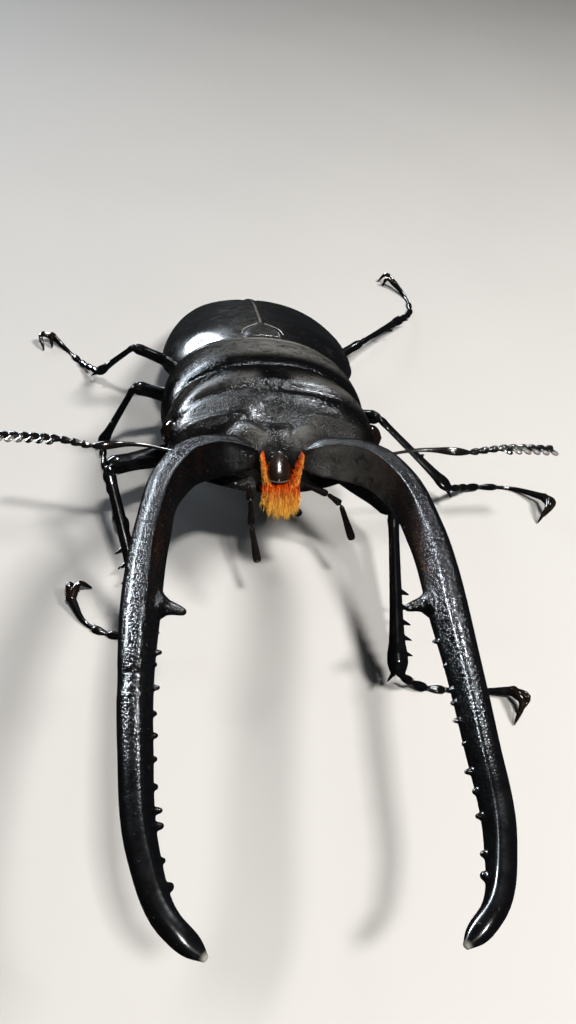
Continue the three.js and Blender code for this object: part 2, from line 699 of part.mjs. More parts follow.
const core = joined(
  hindForm(-ELYTRON_THICKNESS - GAP),
  hindForm(0).intersect(underEdge(GAP)),
  waistForm(0),
);
const hindBody = without(core, scutellumForm(GAP), ...legRoom("mid", "hind"));
const tail = block(vector(-FAR, WAIST_CUT, -FAR), vector(FAR, FAR, FAR));
const front = block(vector(-FAR, -FAR, -FAR), vector(FAR, WAIST_CUT + GAP, FAR));
addPiece(trunk, "metathorax", without(hindBody, tail), FINISH.belly);
addPiece(trunk, "abdomen", without(hindBody, front), FINISH.belly);

for (const stance of STANCE) {
  const leg = `${stance.pair}_${stance.side > 0 ? "l" : "r"}`;
  addPiece(trunk, `coxa_${leg}`, coxaForm(stance), FINISH.leg);
  const hipRoom = coxaForm(stance, GAP).transform(trunk.matrix.elements);
  addPiece(beetle, `femur_${leg}`, without(femurForm(stance), hipRoom), FINISH.leg);
  const tibia = joined(tibiaForm(stance), ...tibiaSpines(stance));
  addPiece(beetle, `tibia_${leg}`, without(tibia, femurForm(stance, GAP), floorCut), FINISH.leg);
  addPiece(beetle, `tarsus_${leg}`, without(footForm(stance), tibiaForm(stance, GAP), floorCut), FINISH.leg);
  addPiece(beetle, `claws_${leg}`, without(clawsForm(stance), footForm(stance, GAP), floorCut), FINISH.claw);
}

// The origin is the bottom centre of the whole beetle's box.
beetle.updateMatrixWorld(true);
const box = new THREE.Box3().setFromObject(beetle, true);
const middle = box.getCenter(new THREE.Vector3());
beetle.position.set(-middle.x, -middle.y, -box.min.z);

export default beetle;
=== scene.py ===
# %% [markdown]
# # A stag beetle, dressed
#
# A large male stag beetle is a suit of black armour: a broad head with two long toothed jaws, a collar, a
# pair of hard wing cases and six jointed legs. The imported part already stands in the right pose, so each
# cell below takes one piece of it and models a smooth, detailed one in the same place. All sizes are in
# millimetres while a piece is worked on, and the finished piece is put in the row's frame in metres.

# %% The frame and a clean start
import math
import random

import bpy
import numpy as np
from mathutils import Matrix, Vector


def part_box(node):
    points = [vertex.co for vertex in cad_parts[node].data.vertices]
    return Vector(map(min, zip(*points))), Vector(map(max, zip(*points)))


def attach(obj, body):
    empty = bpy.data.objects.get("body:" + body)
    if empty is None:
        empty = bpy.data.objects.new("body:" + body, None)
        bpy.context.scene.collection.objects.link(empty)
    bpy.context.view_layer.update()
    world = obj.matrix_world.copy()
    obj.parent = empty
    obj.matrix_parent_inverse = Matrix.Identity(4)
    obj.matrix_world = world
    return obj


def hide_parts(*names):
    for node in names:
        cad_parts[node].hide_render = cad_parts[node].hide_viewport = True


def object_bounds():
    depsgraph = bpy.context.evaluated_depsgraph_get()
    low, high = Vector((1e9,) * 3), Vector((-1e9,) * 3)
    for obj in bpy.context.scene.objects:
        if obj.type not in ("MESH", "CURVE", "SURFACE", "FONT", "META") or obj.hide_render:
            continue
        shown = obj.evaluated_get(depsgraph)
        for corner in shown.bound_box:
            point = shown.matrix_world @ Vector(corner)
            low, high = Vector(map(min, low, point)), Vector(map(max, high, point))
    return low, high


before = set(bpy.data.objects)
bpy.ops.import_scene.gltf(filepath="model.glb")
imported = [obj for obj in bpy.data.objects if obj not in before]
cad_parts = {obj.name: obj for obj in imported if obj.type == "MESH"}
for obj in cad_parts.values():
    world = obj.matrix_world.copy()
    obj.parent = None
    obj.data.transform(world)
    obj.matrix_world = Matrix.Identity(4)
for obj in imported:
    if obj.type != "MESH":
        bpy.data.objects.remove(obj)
cad_low, cad_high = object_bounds()
bpy.ops.object.select_all(action="DESELECT")
print("solids in the frame:", len(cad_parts))

# %% [markdown]
# The trunk of this beetle is pitched nose up. Working along a level trunk is far easier, so its pieces
# are modelled in a frame of their own, with y running from the head's front to the tail, and are tilted
# at the end. The two eyes say where that frame lies, because they sit at one known place of it.

# %% Two working frames
MM = 0.001
NOSE_UP = math.radians(13.3)
FRONT_HEIGHT = 11.9
EYE_PLACE = Vector((11.9, 7.4, 7.6))
SIDES = (("l", 1), ("r", -1))
UP = Vector((0, 0, 1))


def middle_of(*nodes):
    """The middle of all the corners of these nodes' boxes, in metres."""
    corners = [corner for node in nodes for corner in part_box(node)]
    return sum(corners, Vector()) / len(corners)


between_eyes = middle_of("eye_l", "eye_r")
to_level = Matrix.Translation(-Vector((0, EYE_PLACE.y, EYE_PLACE.z)))
TRUNK = Matrix.Translation(between_eyes) @ Matrix.Rotation(-NOSE_UP, 4, "X") @ Matrix.Scale(MM, 4) @ to_level
FLOOR = Matrix.Translation(TRUNK @ Vector() - Vector((0, 0, FRONT_HEIGHT * MM))) @ Matrix.Scale(MM, 4)
print("the trunk's front is at", [round(1000 * x, 2) for x in TRUNK @ Vector()], "mm")

# %% [markdown]
# Most parts of an insect are tubes that swell and taper. By hand they are made from a circle that is
# extruded, and each new ring is resized. The tube is made straight, and then its rings are laid along the
# limb's line. A smooth line through a few known places gives both the thickness of a tube and the way it
# bends.

# %% Smooth lines
def profile(*keys):
    """A smooth line through [place, value] keys."""
    places = [key[0] for key in keys]
    values = [key[1] for key in keys]
    slopes = np.gradient(values, places) if len(keys) > 1 else [0]

    def at(place):
        i = int(np.clip(np.searchsorted(places, place) - 1, 0, len(places) - 2))
        width = places[i + 1] - places[i]
        u = min(max((place - places[i]) / width, 0), 1)
        rise = values[i + 1] - values[i]
        curve = u * u * (3 - 2 * u) * rise
        lean = u * (1 - u) * ((1 - u) * slopes[i] - u * slopes[i + 1]) * width
        return values[i] + curve + lean

    return at


def smooth(value, low, high):
    """0 below low, 1 above high, and a soft step between."""
    u = min(max((value - low) / (high - low), 0), 1)
    return u * u * (3 - 2 * u)


def eased(count):
    """Shares from 0 to 1 in count steps, which are closest together near both ends."""
    return [(1 - math.cos(math.pi * i / count)) / 2 for i in range(count + 1)]


def bump(u, v=0.0):
    """1 at the middle, falling softly to 0 past a distance of about 2."""
    return math.exp(-u * u - v * v)


def level(value):
    return lambda place: value


class Path:
    """A smooth path through points, walked by the share of its length."""

    def __init__(self, points):
        points = [Vector(point) for point in points]
        places = [0.0]
        for start, end in zip(points, points[1:]):
            places.append(places[-1] + (end - start).length)
        lines = [profile(*zip(places, [point[k] for point in points])) for k in range(3)]
        walk = np.linspace(0, places[-1], 40 * len(points))
        self.points = np.array([[line(place) for line in lines] for place in walk])
        steps = np.linalg.norm(np.diff(self.points, axis=0), axis=1)
        self.lengths = np.concatenate([[0], np.cumsum(steps)])
        self.length = self.lengths[-1]

    def at(self, share):
        place = min(max(share, 0), 1) * self.length
        return Vector([np.interp(place, self.lengths, self.points[:, k]) for k in range(3)])

    def ahead(self, share, reach=0.01):
        return (self.at(share + reach) - self.at(share - reach)).normalized()


quarter = Path(((1, 0, 0), (0.71, 0.71, 0), (0, 1, 0)))
print("a quarter of a circle of radius 1 is about", round(quarter.length, 2), "long")

# %% [markdown]
# A few helpers do the handiwork. A straight tube is a filled circle, extruded once for each row, with
# each new ring resized to its width and depth, and its rings are then laid along a path. A piece can be
# trimmed at planes, or have another piece cut out of it. Last, several closed pieces are melted into one
# skin by a voxel remesh, which also rounds the corners where a tooth or a spine grows out of the limb, as
# on the real shell.

# %% Tubes, paths and joined skins
def select(*pieces):
    bpy.ops.object.select_all(action="DESELECT")
    for piece in pieces:
        piece.select_set(True)
    bpy.context.view_layer.objects.active = pieces[0]


def edit_all():
    """Opens the active piece for editing, with all of it selected."""
    bpy.ops.object.mode_set(mode="EDIT")
    bpy.ops.mesh.select_all(action="SELECT")


def tube(name, rows, sides=16):
    """A closed straight tube along Z, one ring for each row of (place, half width, half depth)."""
    place, wide, deep = rows[0]
    bpy.ops.mesh.primitive_circle_add(vertices=sides, radius=1, fill_type="NGON")
    piece = bpy.context.object
    piece.name = name
    edit_all()
    bpy.ops.transform.translate(value=(0, 0, place))
    bpy.ops.transform.resize(value=(wide, deep, 1))
    for next_place, next_wide, next_deep in rows[1:]:
        move = {"value": (0, 0, next_place - place)}
        bpy.ops.mesh.extrude_region_move(TRANSFORM_OT_translate=move)
        bpy.ops.transform.resize(value=(next_wide / wide, next_deep / deep, 1))
        place, wide, deep = next_place, next_wide, next_deep
    bpy.ops.mesh.select_all(action="SELECT")
    bpy.ops.mesh.normals_make_consistent(inside=False)
    bpy.ops.object.mode_set(mode="OBJECT")
    return piece


def sculpt(piece, move):
    """Moves every point of a piece: move takes its place and gives a new one."""
    for point in piece.data.vertices:
        point.co = move(point.co)
    piece.data.update()
    return piece


def lay(piece, path, up=UP):
    """Lays a straight tube along a path. Its Z runs from 0 to 1 over the path's length."""

    def along(co):
        ahead = path.ahead(co.z)
        aside = ahead.cross(up).normalized()
        beyond = co.z - min(max(co.z, 0), 1)
        return path.at(co.z) + ahead * beyond * path.length + aside * co.x + aside.cross(ahead) * co.y

    return sculpt(piece, along)


def finish_with(piece, kind, **settings):
    """Adds one modifier to a piece and applies it."""
    select(piece)
    modifier = piece.modifiers.new(kind.title(), kind)
    for key, value in settings.items():
        setattr(modifier, key, value)
    bpy.ops.object.modifier_apply(modifier=modifier.name)
    return piece


def trim(piece, *cuts):
    """Cuts a piece off at planes, each (point, the way that is thrown away), and closes it again."""
    select(piece)
    bpy.ops.object.mode_set(mode="EDIT")
    for point, away in cuts:
        bpy.ops.mesh.select_all(action="SELECT")
        bpy.ops.mesh.bisect(plane_co=point, plane_no=away, use_fill=True, clear_outer=True)
    bpy.ops.object.mode_set(mode="OBJECT")


def cut(piece, cutter):
    """Takes one closed piece out of another."""
    finish_with(piece, "BOOLEAN", operation="DIFFERENCE", object=cutter, solver="EXACT")
    bpy.data.objects.remove(cutter)


def one_skin(name, pieces, voxel, passes):
    """Joins closed pieces, remeshes them as one skin and smooths it in some passes."""
    select(*pieces)
    if len(pieces) > 1:
        bpy.ops.object.join()
    piece = pieces[0]
    piece.name = name
    piece.data.remesh_voxel_size = voxel
    bpy.ops.object.voxel_remesh()
    return finish_with(piece, "SMOOTH", factor=0.5, iterations=passes)


print("pieces are shaped in mm and placed in metres, at a scale of", MM)

# %% [markdown]
# Paint says where a piece is worn, dusty or rough, and where a highlight or sheen is painted on. It is a
# value on every point, which the finish then reads. A finished piece is put in its place in metres, gets
# its finish, and hides the solids whose place it takes.

# %% Paint and the last step of every piece
made = []


def mark(piece, name, amount):
    """Paints a value from 0 to 1 on every point, from its place and the way it faces."""
    paint = piece.data.attributes.new(name, "FLOAT", "POINT")
    for point, value in zip(piece.data.vertices, paint.data):
        value.value = min(max(amount(point.co, point.normal), 0), 1)


def done(piece, place, finish, record_slot, *nodes, **marks):
    """Puts a finished piece in its place and hides the solids it stands for. marks are its paint."""
    for name, amount in marks.items():
        mark(piece, name, amount)
    piece.data.transform(place)
    select(piece)
    bpy.ops.object.shade_smooth()
    piece.data.materials.clear()
    piece.data.materials.append(finish)
    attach(piece, "root")
    if nodes:
        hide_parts(*nodes)
    made.append(piece)
    faces = sum(len(face.vertices) - 2 for face in piece.data.polygons)
    print(f"{piece.name}: {faces} triangles")


print("values that a piece can be painted with: dust, grain, pale and along")

# %% [markdown]
# ## Finishes
#
# Chitin is black horn under a thin clear wax. Where the wax is whole it is as glossy as lacquer, where it
# is pitted with tiny grains it sparkles, road dust lies on it in soft patches, and rubbed edges are worn
# to pale horn. A finish is a small web of nodes: patterns such as noise go in, and colour, gloss and
# relief come out. These few helpers add a node and join it up, so that each recipe below reads like a
# list of steps.

# %% Nodes for a finish
def new_finish(name):
    """An empty finish: the material, its web of nodes, and its surface."""
    made_of = bpy.data.materials.new(name)
    made_of.use_nodes = True
    return made_of, made_of.node_tree, made_of.node_tree.nodes["Principled BSDF"]


def dial(new, values):
    """Sets some inputs of a node by their names."""
    for key, value in values.items():
        new.inputs[key].default_value = value


def node(tree, kind, **values):
    """Adds a node; values set its inputs by name, or its own settings."""
    new = tree.nodes.new(kind)
    for key, value in values.items():
        if key in new.inputs:
            new.inputs[key].default_value = value
        else:
            setattr(new, key, value)
    return new


def ramp(tree, source, low, high, low_value=0.0, high_value=1.0):
    """Turns a source from low..high into low_value..high_value, smoothly."""
    new = tree.nodes.new("ShaderNodeMapRange")
    new.interpolation_type = "SMOOTHSTEP"
    dial(new, {"From Min": low, "From Max": high, "To Min": low_value, "To Max": high_value})
    tree.links.new(source, new.inputs["Value"])
    return new.outputs["Result"]


def painted(tree, name):
    """The value that is painted on the piece under this name."""
    return node(tree, "ShaderNodeAttribute", attribute_name=name).outputs["Fac"]


print("paint, ramps and settings are ready")

# %% [markdown]
# Two patterns do all the work: cloudy noise, and small round grains. Both are measured in millimetres and
# read the piece's own coordinates. Colours are mixed by a pattern, and patterns are multiplied or added.

# %% Patterns and sums
def askew(tree):
    """The piece's own coordinates, turned so that a pattern's cells never line up with its sides."""
    place = node(tree, "ShaderNodeTexCoord")
    turned = node(tree, "ShaderNodeMapping", Rotation=(0.6, 0.45, 0.8))
    tree.links.new(place.outputs["Object"], turned.inputs["Vector"])
    return turned.outputs["Vector"]


def noise(tree, size, detail=3.0, roughness=0.5, distortion=0.0):
    """Noise whose features are about size millimetres."""
    new = node(tree, "ShaderNodeTexNoise", Scale=1 / (size * MM), Detail=detail, Roughness=roughness,
               Distortion=distortion)
    tree.links.new(askew(tree), new.inputs["Vector"])
    return new.outputs["Fac"]


def grains(tree, size):
    """Rounded grains about size millimetres apart."""
    new = node(tree, "ShaderNodeTexVoronoi", Scale=1 / (size * MM))
    tree.links.new(askew(tree), new.inputs["Vector"])
    return new.outputs["Distance"]


def mixed(tree, factor, low, high):
    """A colour between two, by a factor."""
    new = tree.nodes.new("ShaderNodeMix")
    new.data_type = "RGBA"
    for socket, value in ((new.inputs[6], low), (new.inputs[7], high)):
        if isinstance(value, tuple):
            socket.default_value = (*value, 1)
        else:
            tree.links.new(value, socket)
    tree.links.new(factor, new.inputs[0])
    return new.outputs[2]


def maths(tree, operation, first, second):
    """One sum on two values, each a number or what another node gives."""
    new = tree.nodes.new("ShaderNodeMath")
    new.operation = operation
    new.use_clamp = operation == "ADD"
    for socket, value in ((new.inputs[0], first), (new.inputs[1], second)):
        if isinstance(value, (int, float)):
            socket.default_value = value
        else:
            tree.links.new(value, socket)
    return new.outputs[0]


def times(tree, first, second):
    return maths(tree, "MULTIPLY", first, second)


def plus(tree, first, second):
    """A sum that stops at 1."""
    return maths(tree, "ADD", first, second)


print("a pattern of 1 mm has a scale of", 1 / MM)

# %% [markdown]
# One recipe makes every black part. Its colour is nearly black, then dust lies over it: a film in cloudy
# patches, tiny specks, and streaks where dust is painted on, which on the head's brows and coarse band
# are partly a painted sheen. Pale horn comes last, where an edge is worn, and as a painted highlight on
# the points of the small jaw teeth.
# Its gloss is smeared a little, as by fingers, and dust dulls it. Its relief is a slow ripple, and on most
# pieces small round grains as well, deepest on head, collar and jaws, which break a highlight into sparks.
# Only numbers differ between wing case, head, jaw, leg and eye, so they look like parts of one animal.

# %% Shell
BLACK = (0.002, 0.002, 0.0024)
BROWN = (0.009, 0.006, 0.0045)
DUST = (0.12, 0.115, 0.104)
# pale horn where an edge is worn; the same colour is the painted highlight on the points of the small jaw
# teeth
PALE_HORN = (0.36, 0.34, 0.31)
CHITIN_IOR = 1.58
RIPPLE_DEPTH = 0.05
GRAIN_DEPTH = 0.12


def dust_and_sheen_on(tree, dust, dust_size):
    """How much dust hides the shell: cloudy film and specks by chance, streaks where it is painted on. On the
    head's brows and coarse band the painted part is partly a painted sheen.
    """
    cloud = noise(tree, dust_size, detail=6.0, roughness=0.62, distortion=0.6)
    film = times(tree, ramp(tree, cloud, 0.54, 0.76), 0.35 * dust)
    specks = times(tree, ramp(tree, noise(tree, 0.3, detail=2.0), 0.66, 0.78), 1.6 * dust)
    streaks = ramp(tree, noise(tree, 1.3, detail=8.0, roughness=0.66, distortion=0.8), 0.28, 0.6, 0.25)
    return plus(tree, plus(tree, film, specks), times(tree, painted(tree, "dust"), streaks))


def relief_of(tree, wave, grain, grain_size):
    """The way the surface leans: a slow ripple, with grains on it where they are painted on."""
    ripple = node(tree, "ShaderNodeBump", Strength=wave, Distance=RIPPLE_DEPTH * MM)
    tree.links.new(noise(tree, 1.1, detail=4.0), ripple.inputs["Height"])
    if not grain:
        return ripple.outputs["Normal"]
    bead = node(tree, "ShaderNodeBump", Strength=grain, Distance=GRAIN_DEPTH * MM)
    granules = ramp(tree, grains(tree, grain_size), 0.05, 0.75, 1.0, 0.0)
    fine = times(tree, noise(tree, grain_size * 2.5, detail=4.0), 0.7)
    tree.links.new(times(tree, plus(tree, granules, fine), painted(tree, "grain")), bead.inputs["Height"])
    tree.links.new(ripple.outputs["Normal"], bead.inputs["Normal"])
    return bead.outputs["Normal"]


def shell(name, base, warm, gloss, grain=0.0, grain_size=0.16, dust=0.3, dust_size=6.0, coat=0.25, wave=0.25,
          shine=0.5):
    """Black horn. gloss is its roughness where clean, grain its granules' depth, dust how dusty it is."""
    made_of, tree, skin = new_finish(name)
    dial(skin, {"IOR": CHITIN_IOR, "Specular IOR Level": shine, "Coat Weight": coat,
                "Coat Roughness": gloss * 0.9})
    dust_and_sheen = dust_and_sheen_on(tree, dust, dust_size)
    tone = mixed(tree, noise(tree, 3.0, detail=4.0), base, warm)
    # the dust colour laid over the shell; on the head's brows and coarse band it is partly a painted sheen
    dusty = mixed(tree, dust_and_sheen, tone, DUST)
    colour = mixed(tree, ramp(tree, painted(tree, "pale"), 0.45, 1.0), dusty, PALE_HORN)
    tree.links.new(colour, skin.inputs["Base Color"])
    smear = ramp(tree, noise(tree, 1.6, detail=5.0, roughness=0.65), 0.3, 0.75, gloss * 0.8, gloss * 1.35)
    tree.links.new(plus(tree, smear, times(tree, dust_and_sheen, 0.5)), skin.inputs["Roughness"])
    leaning = relief_of(tree, wave, grain, grain_size)
    tree.links.new(leaning, skin.inputs["Normal"])
    tree.links.new(leaning, skin.inputs["Coat Normal"])
    return made_of


wing_shell = shell("wing case lacquer", BLACK, BLACK, gloss=0.16, dust=0.3, dust_size=3.0, wave=0.1, coat=1)
grainy_shell = shell("grainy shell", BLACK, BLACK, gloss=0.13, grain=0.65, grain_size=0.24, dust=0.25,
                     dust_size=2.5, coat=0, wave=0.08, shine=0.15)
jaw_horn = shell("jaw horn", BLACK, BLACK, gloss=0.2, grain=0.45, grain_size=0.2, dust=0.1, coat=0, wave=0.15)
leg_shell = shell("leg shell", BLACK, BLACK, gloss=0.14, grain=0.1, grain_size=0.3, dust=0.1, dust_size=3.0)
belly_shell = shell("belly shell", BROWN, (0.02, 0.012, 0.007), gloss=0.3, grain=0.3, dust=0.3)
eye_glass = shell("eye", BLACK, (0.011, 0.005, 0.003), gloss=0.08, grain=0.1, grain_size=0.07, dust=0)
lip_shell = shell("lip", (0.02, 0.008, 0.003), BLACK, gloss=0.24, grain=0.35, dust=0.1, coat=1)
feeler_shell = shell("feeler shell", BLACK, BROWN, gloss=0.1, grain=0.08, dust=0.1, dust_size=2.0, coat=1)
claw_horn = shell("claw horn", BLACK, (0.016, 0.008, 0.004), gloss=0.12, dust=0, coat=0.5)
print("shell finishes:", len(bpy.data.materials))

# %% [markdown]
# The brush and the bristles are hair, which is clearer than shell: light goes a little way in and comes
# out warmer. Each hair is darker at its root and paler at its end, and noise keeps the tufts from being
# alike.

# %% Hair
def hair(name, root, end):
    """Waxy hair that pales from its root to its end, by the value painted along each tuft."""
    made_of, tree, skin = new_finish(name)
    dial(skin, {"Subsurface Weight": 0.15, "Specular IOR Level": 0.15,
                "Subsurface Radius": (0.6 * MM, 0.3 * MM, 0.1 * MM)})
    shade = plus(tree, painted(tree, "along"), times(tree, noise(tree, 0.5), 0.4))
    colour = mixed(tree, ramp(tree, shade, 0.4, 1.1), root, end)
    tree.links.new(colour, skin.inputs["Base Color"])
    tree.links.new(ramp(tree, noise(tree, 0.2), 0.3, 0.7, 0.5, 0.7), skin.inputs["Roughness"])
    return made_of


brush_hair = hair("mouth hair", (0.45, 0.045, 0.001), (1.0, 0.55, 0.09))
foot_hair = hair("foot bristles", (0.03, 0.02, 0.012), (0.2, 0.14, 0.08))
print("finishes in all:", len(bpy.data.materials))

# %% [markdown]
# ## The trunk
#
# Head, collar and hind body are barrels whose cross-section is a rounded box, wider than high. Each is a
# tube of rings set by the same few places as the solid: half width, top, bottom and the level where it is
# widest. The tube is extruded straight, its rings are squared off and set to those levels, and a remesh
# later evens out its faces.

# %% Barrels
def squared(value, fullness):
    """Pushes a sine or cosine out, so that a circle of them becomes a rounded box."""
    return math.copysign(abs(value) ** (2 / fullness), value)


def barrel(name, form, sides, rings, inset=0.0):
    """A closed barrel along Y. form holds the keys of a trunk form; inset makes it smaller all round."""
    front, rear = form["from"], form["to"]
    piece = tube(name, [(share, 1, 1) for share in eased(rings)], sides)
    fullness = form.get("fullness", 2.4)
    front_sweep, rear_sweep = form.get("sweep", (0, 0))
    relief = form.get("relief", lambda x, y: 0)

    def move(co):
        share = co.z
        across, above = squared(co.x, fullness), squared(-co.y, fullness)
        place = front + (rear - front) * share
        x = (form["half"](place) - inset) * across
        sweep = (front_sweep * across**2 + inset) * (1 - share) + (rear_sweep * across**2 - inset) * share
        edge = form["edge"](place)
        reach = form["top"](place) - inset - edge if above > 0 else edge - form["bottom"](place) - inset
        height = edge + reach * above + relief(x, place + sweep) * max(above, 0)
        return Vector((x, place + sweep, height))

    return sculpt(piece, move)


MID_HEIGHT = 6.3
HEAD_LENGTH = 14.6


def head_relief(x, y):
    """The brows over the jaws, the hollow between them, and the ridge and dips behind."""
    out, along = abs(x) - 2.7, y - 2.2
    brows = 1.1 * bump((0.83 * along - 0.55 * out) / 0.95, (0.55 * along + 0.83 * out) / 1.9)
    hollow = 0.75 * bump(x / 2.6, (y - 4) / 2.6)
    ridge = 0.5 * bump((y - 4.6 + 0.05 * (abs(x) - 6)) / 0.5)
    ridge = ridge * smooth(abs(x), 2.6, 5) * smooth(-abs(x), -11.5, -9.5)
    dip = 0.5 * bump((y - 3.1) / 0.9, (abs(x) - 7.2) / 2.4)
    rear = 0.25 * bump((y - 9.3 + 0.016 * x * x) / 0.8)
    return brows - hollow + ridge - dip - rear


head_form = {
    "from": 0, "to": HEAD_LENGTH,
    "half": profile((0, 10.6), (3, 12), (6, 12.3), (9.5, 12), (12, 11.4), (HEAD_LENGTH, 10.6)),
    "top": profile((0, 8.7), (3, 10.2), (7, 11.6), (11, 12.9), (HEAD_LENGTH, 13.1)),
    "bottom": profile((0, 3.4), (4, 1.6), (9, 0.8), (HEAD_LENGTH, 0.9)),
    "edge": level(MID_HEIGHT), "sweep": (3.2, -3.2), "fullness": 2.7, "relief": head_relief,
}
neck_form = {
    "from": 11, "to": 17.5, "half": level(8.2), "top": level(10.6), "bottom": level(2.2),
    "edge": level(MID_HEIGHT),
}
print("head width", round(2 * head_form["half"](6), 1), "mm")

# %% [markdown]
# The jaws are the beetle's pride: each is one horn that leaves the head sideways, bends forward, runs
# almost straight and hooks in at its tip, with a great tooth half way and a row of small ones after it.
# The jaw's line is walked by a Path, the teeth are short tapered tubes rooted inside the horn, and one
# remesh joins them.

# %% The line and thickness of a jaw
# for each side: how far out the jaw is set, how far it bows out half way, and how far it is opened
JAW_POSE = {1: (0.5, -0.42, math.radians(-1.1)), -1: (-0.6, 0.9, math.radians(0.4))}
JAW_LINE = (
    (2.6, 0.6, 7.6), (6.5, 0.5, 7.8), (10, -1.2, 7.8), (12, -4.8, 7.6), (13.2, -13, 7.2),
    (13.25, -25, 5.9), (12.9, -36, 4), (12.3, -43.5, 2.3), (10.9, -47.5, 1.3), (8.4, -49.8, 0.7),
)
jaw_wide = profile((0, 1), (0.03, 1.6), (0.07, 1.9), (0.14, 2), (0.25, 1.85), (0.4, 1.78), (0.52, 1.75),
                   (0.62, 1.5), (0.75, 1.32), (0.88, 1.1), (0.95, 0.82), (0.985, 0.62), (1, 0.2))
jaw_deep = profile((0, 1.2), (0.03, 2), (0.07, 2.4), (0.14, 2.5), (0.3, 2.2), (0.5, 1.8), (0.7, 1.35),
                   (0.9, 1), (0.97, 0.75), (1, 0.2))


def jaw_path(side):
    shift, bow, opening = JAW_POSE[side]
    turn = Matrix.Rotation(opening, 3, "Z")
    points = []
    for place in JAW_LINE:
        point = turn @ Vector(place)
        point.x = (point.x + shift * min(1, point.x / 10) + bow * bump((point.y + 30) / 15)) * side
        points.append(point)
    return Path(points)


print("jaw length", round(jaw_path(1).length, 1), "mm along its curve")

# %% [markdown]
# The horn itself is a thick tube with one side planed off. The flat inner face leans back more towards
# the jaw's middle, has a fine keel along its upper edge near the root, and fades out before the tip. Each
# point of the tube that would stand past the flat is pulled back to it, with a little rounding, so the
# horn stays one smooth skin. The socket in the head is the same shape, grown by a small gap.

# %% Horn and teeth
KEEL = 0.3
NICK = 0.645
NICK_LENGTH = 0.007


def jaw_section(share):
    """The flat inner face: how far out it lies, and how far it leans back to show from above."""
    depth = 0.62 + 0.16 * smooth(share, 0.2, 0.5) + 0.4 * smooth(share, 0.86, 1)
    lean = math.radians(4 + 26 * smooth(share, 0.15, 0.45))
    return depth, lean


def jaw_horn_shape(name, side, grow=0.0):
    """A jaw without its teeth; grow makes it larger all round."""
    rows = [(share, jaw_wide(share) + grow, jaw_deep(share) + grow) for share in eased(80)]
    piece = tube(name, rows, sides=56)

    def facet(co):
        share = co.z
        w, d = jaw_wide(share) + grow, jaw_deep(share) + grow
        inward, above = squared(co.x / w, 2.4) * side, squared(co.y / d, 2.4)
        depth, lean = jaw_section(share)
        too_far = inward * math.cos(lean) + above * math.sin(lean) - depth
        keel = KEEL * bump(too_far / 0.13) * smooth(above, 0, 0.3) * smooth(-share, -0.36, -0.16)
        rounded = (math.hypot(too_far, 0.16) + too_far) / 2
        inward -= rounded * math.cos(lean)
        above -= rounded * math.sin(lean)
        nick = 1 - 0.45 * bump((share - NICK) / NICK_LENGTH) * (side < 0) * smooth(above, -0.3, 0.4)
        return Vector(((inward * w + keel * 0.5) * side * nick, (above * d + keel) * nick, share))

    return lay(sculpt(piece, facet), jaw_path(side))


TOOTH_SWELL = (
    (0, 2.2), (0.22, 1.9), (0.35, 1.4), (0.45, 0.9), (0.55, 0.62), (0.7, 0.48), (0.85, 0.38), (0.95, 0.28),
    (1, 0.12),
)


def tooth(path, side, share, height, radius, lean=0.0, flare=1.0):
    """A tooth on the inner face. flare says how wide its root spreads over the horn."""
    root, ahead = path.at(share), path.ahead(share)
    wide, deep = jaw_wide(share), jaw_deep(share)
    inward = ahead.cross(UP).normalized() * side
    start = root + inward * wide * 0.1 - UP * deep * 0.2
    middle = root + inward * (wide * 0.8 + height * 0.4) + ahead * lean * 0.3 - UP * deep * 0.2
    tip = root + inward * (wide * 0.8 + height) + ahead * lean - UP * deep * 0.15
    rows = [(u, radius * (1 + (w - 1) * flare if w > 1 else w), radius * min(w, 1)) for u, w in TOOTH_SWELL]
    return lay(tube("tooth", rows, sides=16), Path((start, middle, tip)))


print("keel", KEEL, "mm high, nick at", NICK, "of the right jaw's length")

# %% [markdown]
# No two teeth of a jaw are alike, so the small ones are set by chance in place, height and width. The
# right jaw has had a harder life: it bears a knob on top by the great tooth, and a nick where something
# has scarred it. The nick is cut by a cube that stands on its edge, after the remesh, which would have
# closed so fine a groove. Paint keeps the grains off the smooth tip, lays dust on the left jaw's root,
# and bares pale horn on the tips and the scar. The points of the small teeth are painted pale as well,
# as a painted highlight.

# %% The two jaws
GREAT_TOOTH = 0.505
END_TOOTH = 0.91
SMALL_TEETH = 10
SMALL_TEETH_FROM, SMALL_TEETH_SPAN = 0.585, 0.295
KNOB = 0.475
KNOB_HEIGHT = 2.2
GROOVE_WIDTH = 0.45


def teeth_of(path, side):
    teeth = [
        tooth(path, side, GREAT_TOOTH, height=2.35, radius=1.1, lean=0.9, flare=1.6),
        tooth(path, side, END_TOOTH, height=0.55, radius=0.75),
    ]
    for i in range(SMALL_TEETH):
        share = SMALL_TEETH_FROM + SMALL_TEETH_SPAN * (i + random.uniform(-0.35, 0.35)) / (SMALL_TEETH - 1)
        height = random.uniform(0.35, 0.75)
        teeth.append(tooth(path, side, share, height, random.uniform(0.5, 0.68), lean=0.1, flare=0.3))
    return teeth


def knob_on(path):
    root = path.at(KNOB) + UP * jaw_deep(KNOB) * 0.6
    rows = [(0, 0.9, 0.9), (0.5, 0.8, 0.8), (0.85, 0.6, 0.6), (1, 0.25, 0.25)]
    return lay(tube("knob", rows, sides=14), Path((root, root + UP * KNOB_HEIGHT)))


def groove_at(scar):
    """A long cube on its edge, whose turn is put into its mesh with its place."""
    bpy.ops.mesh.primitive_cube_add(size=GROOVE_WIDTH, rotation=(math.radians(45), 0, 0))
    groove = bpy.context.object
    groove.data.transform(Matrix.Translation(scar) @ groove.matrix_basis @ Matrix.Diagonal((9, 1, 1, 1)))
    groove.matrix_basis = Matrix()
    return groove


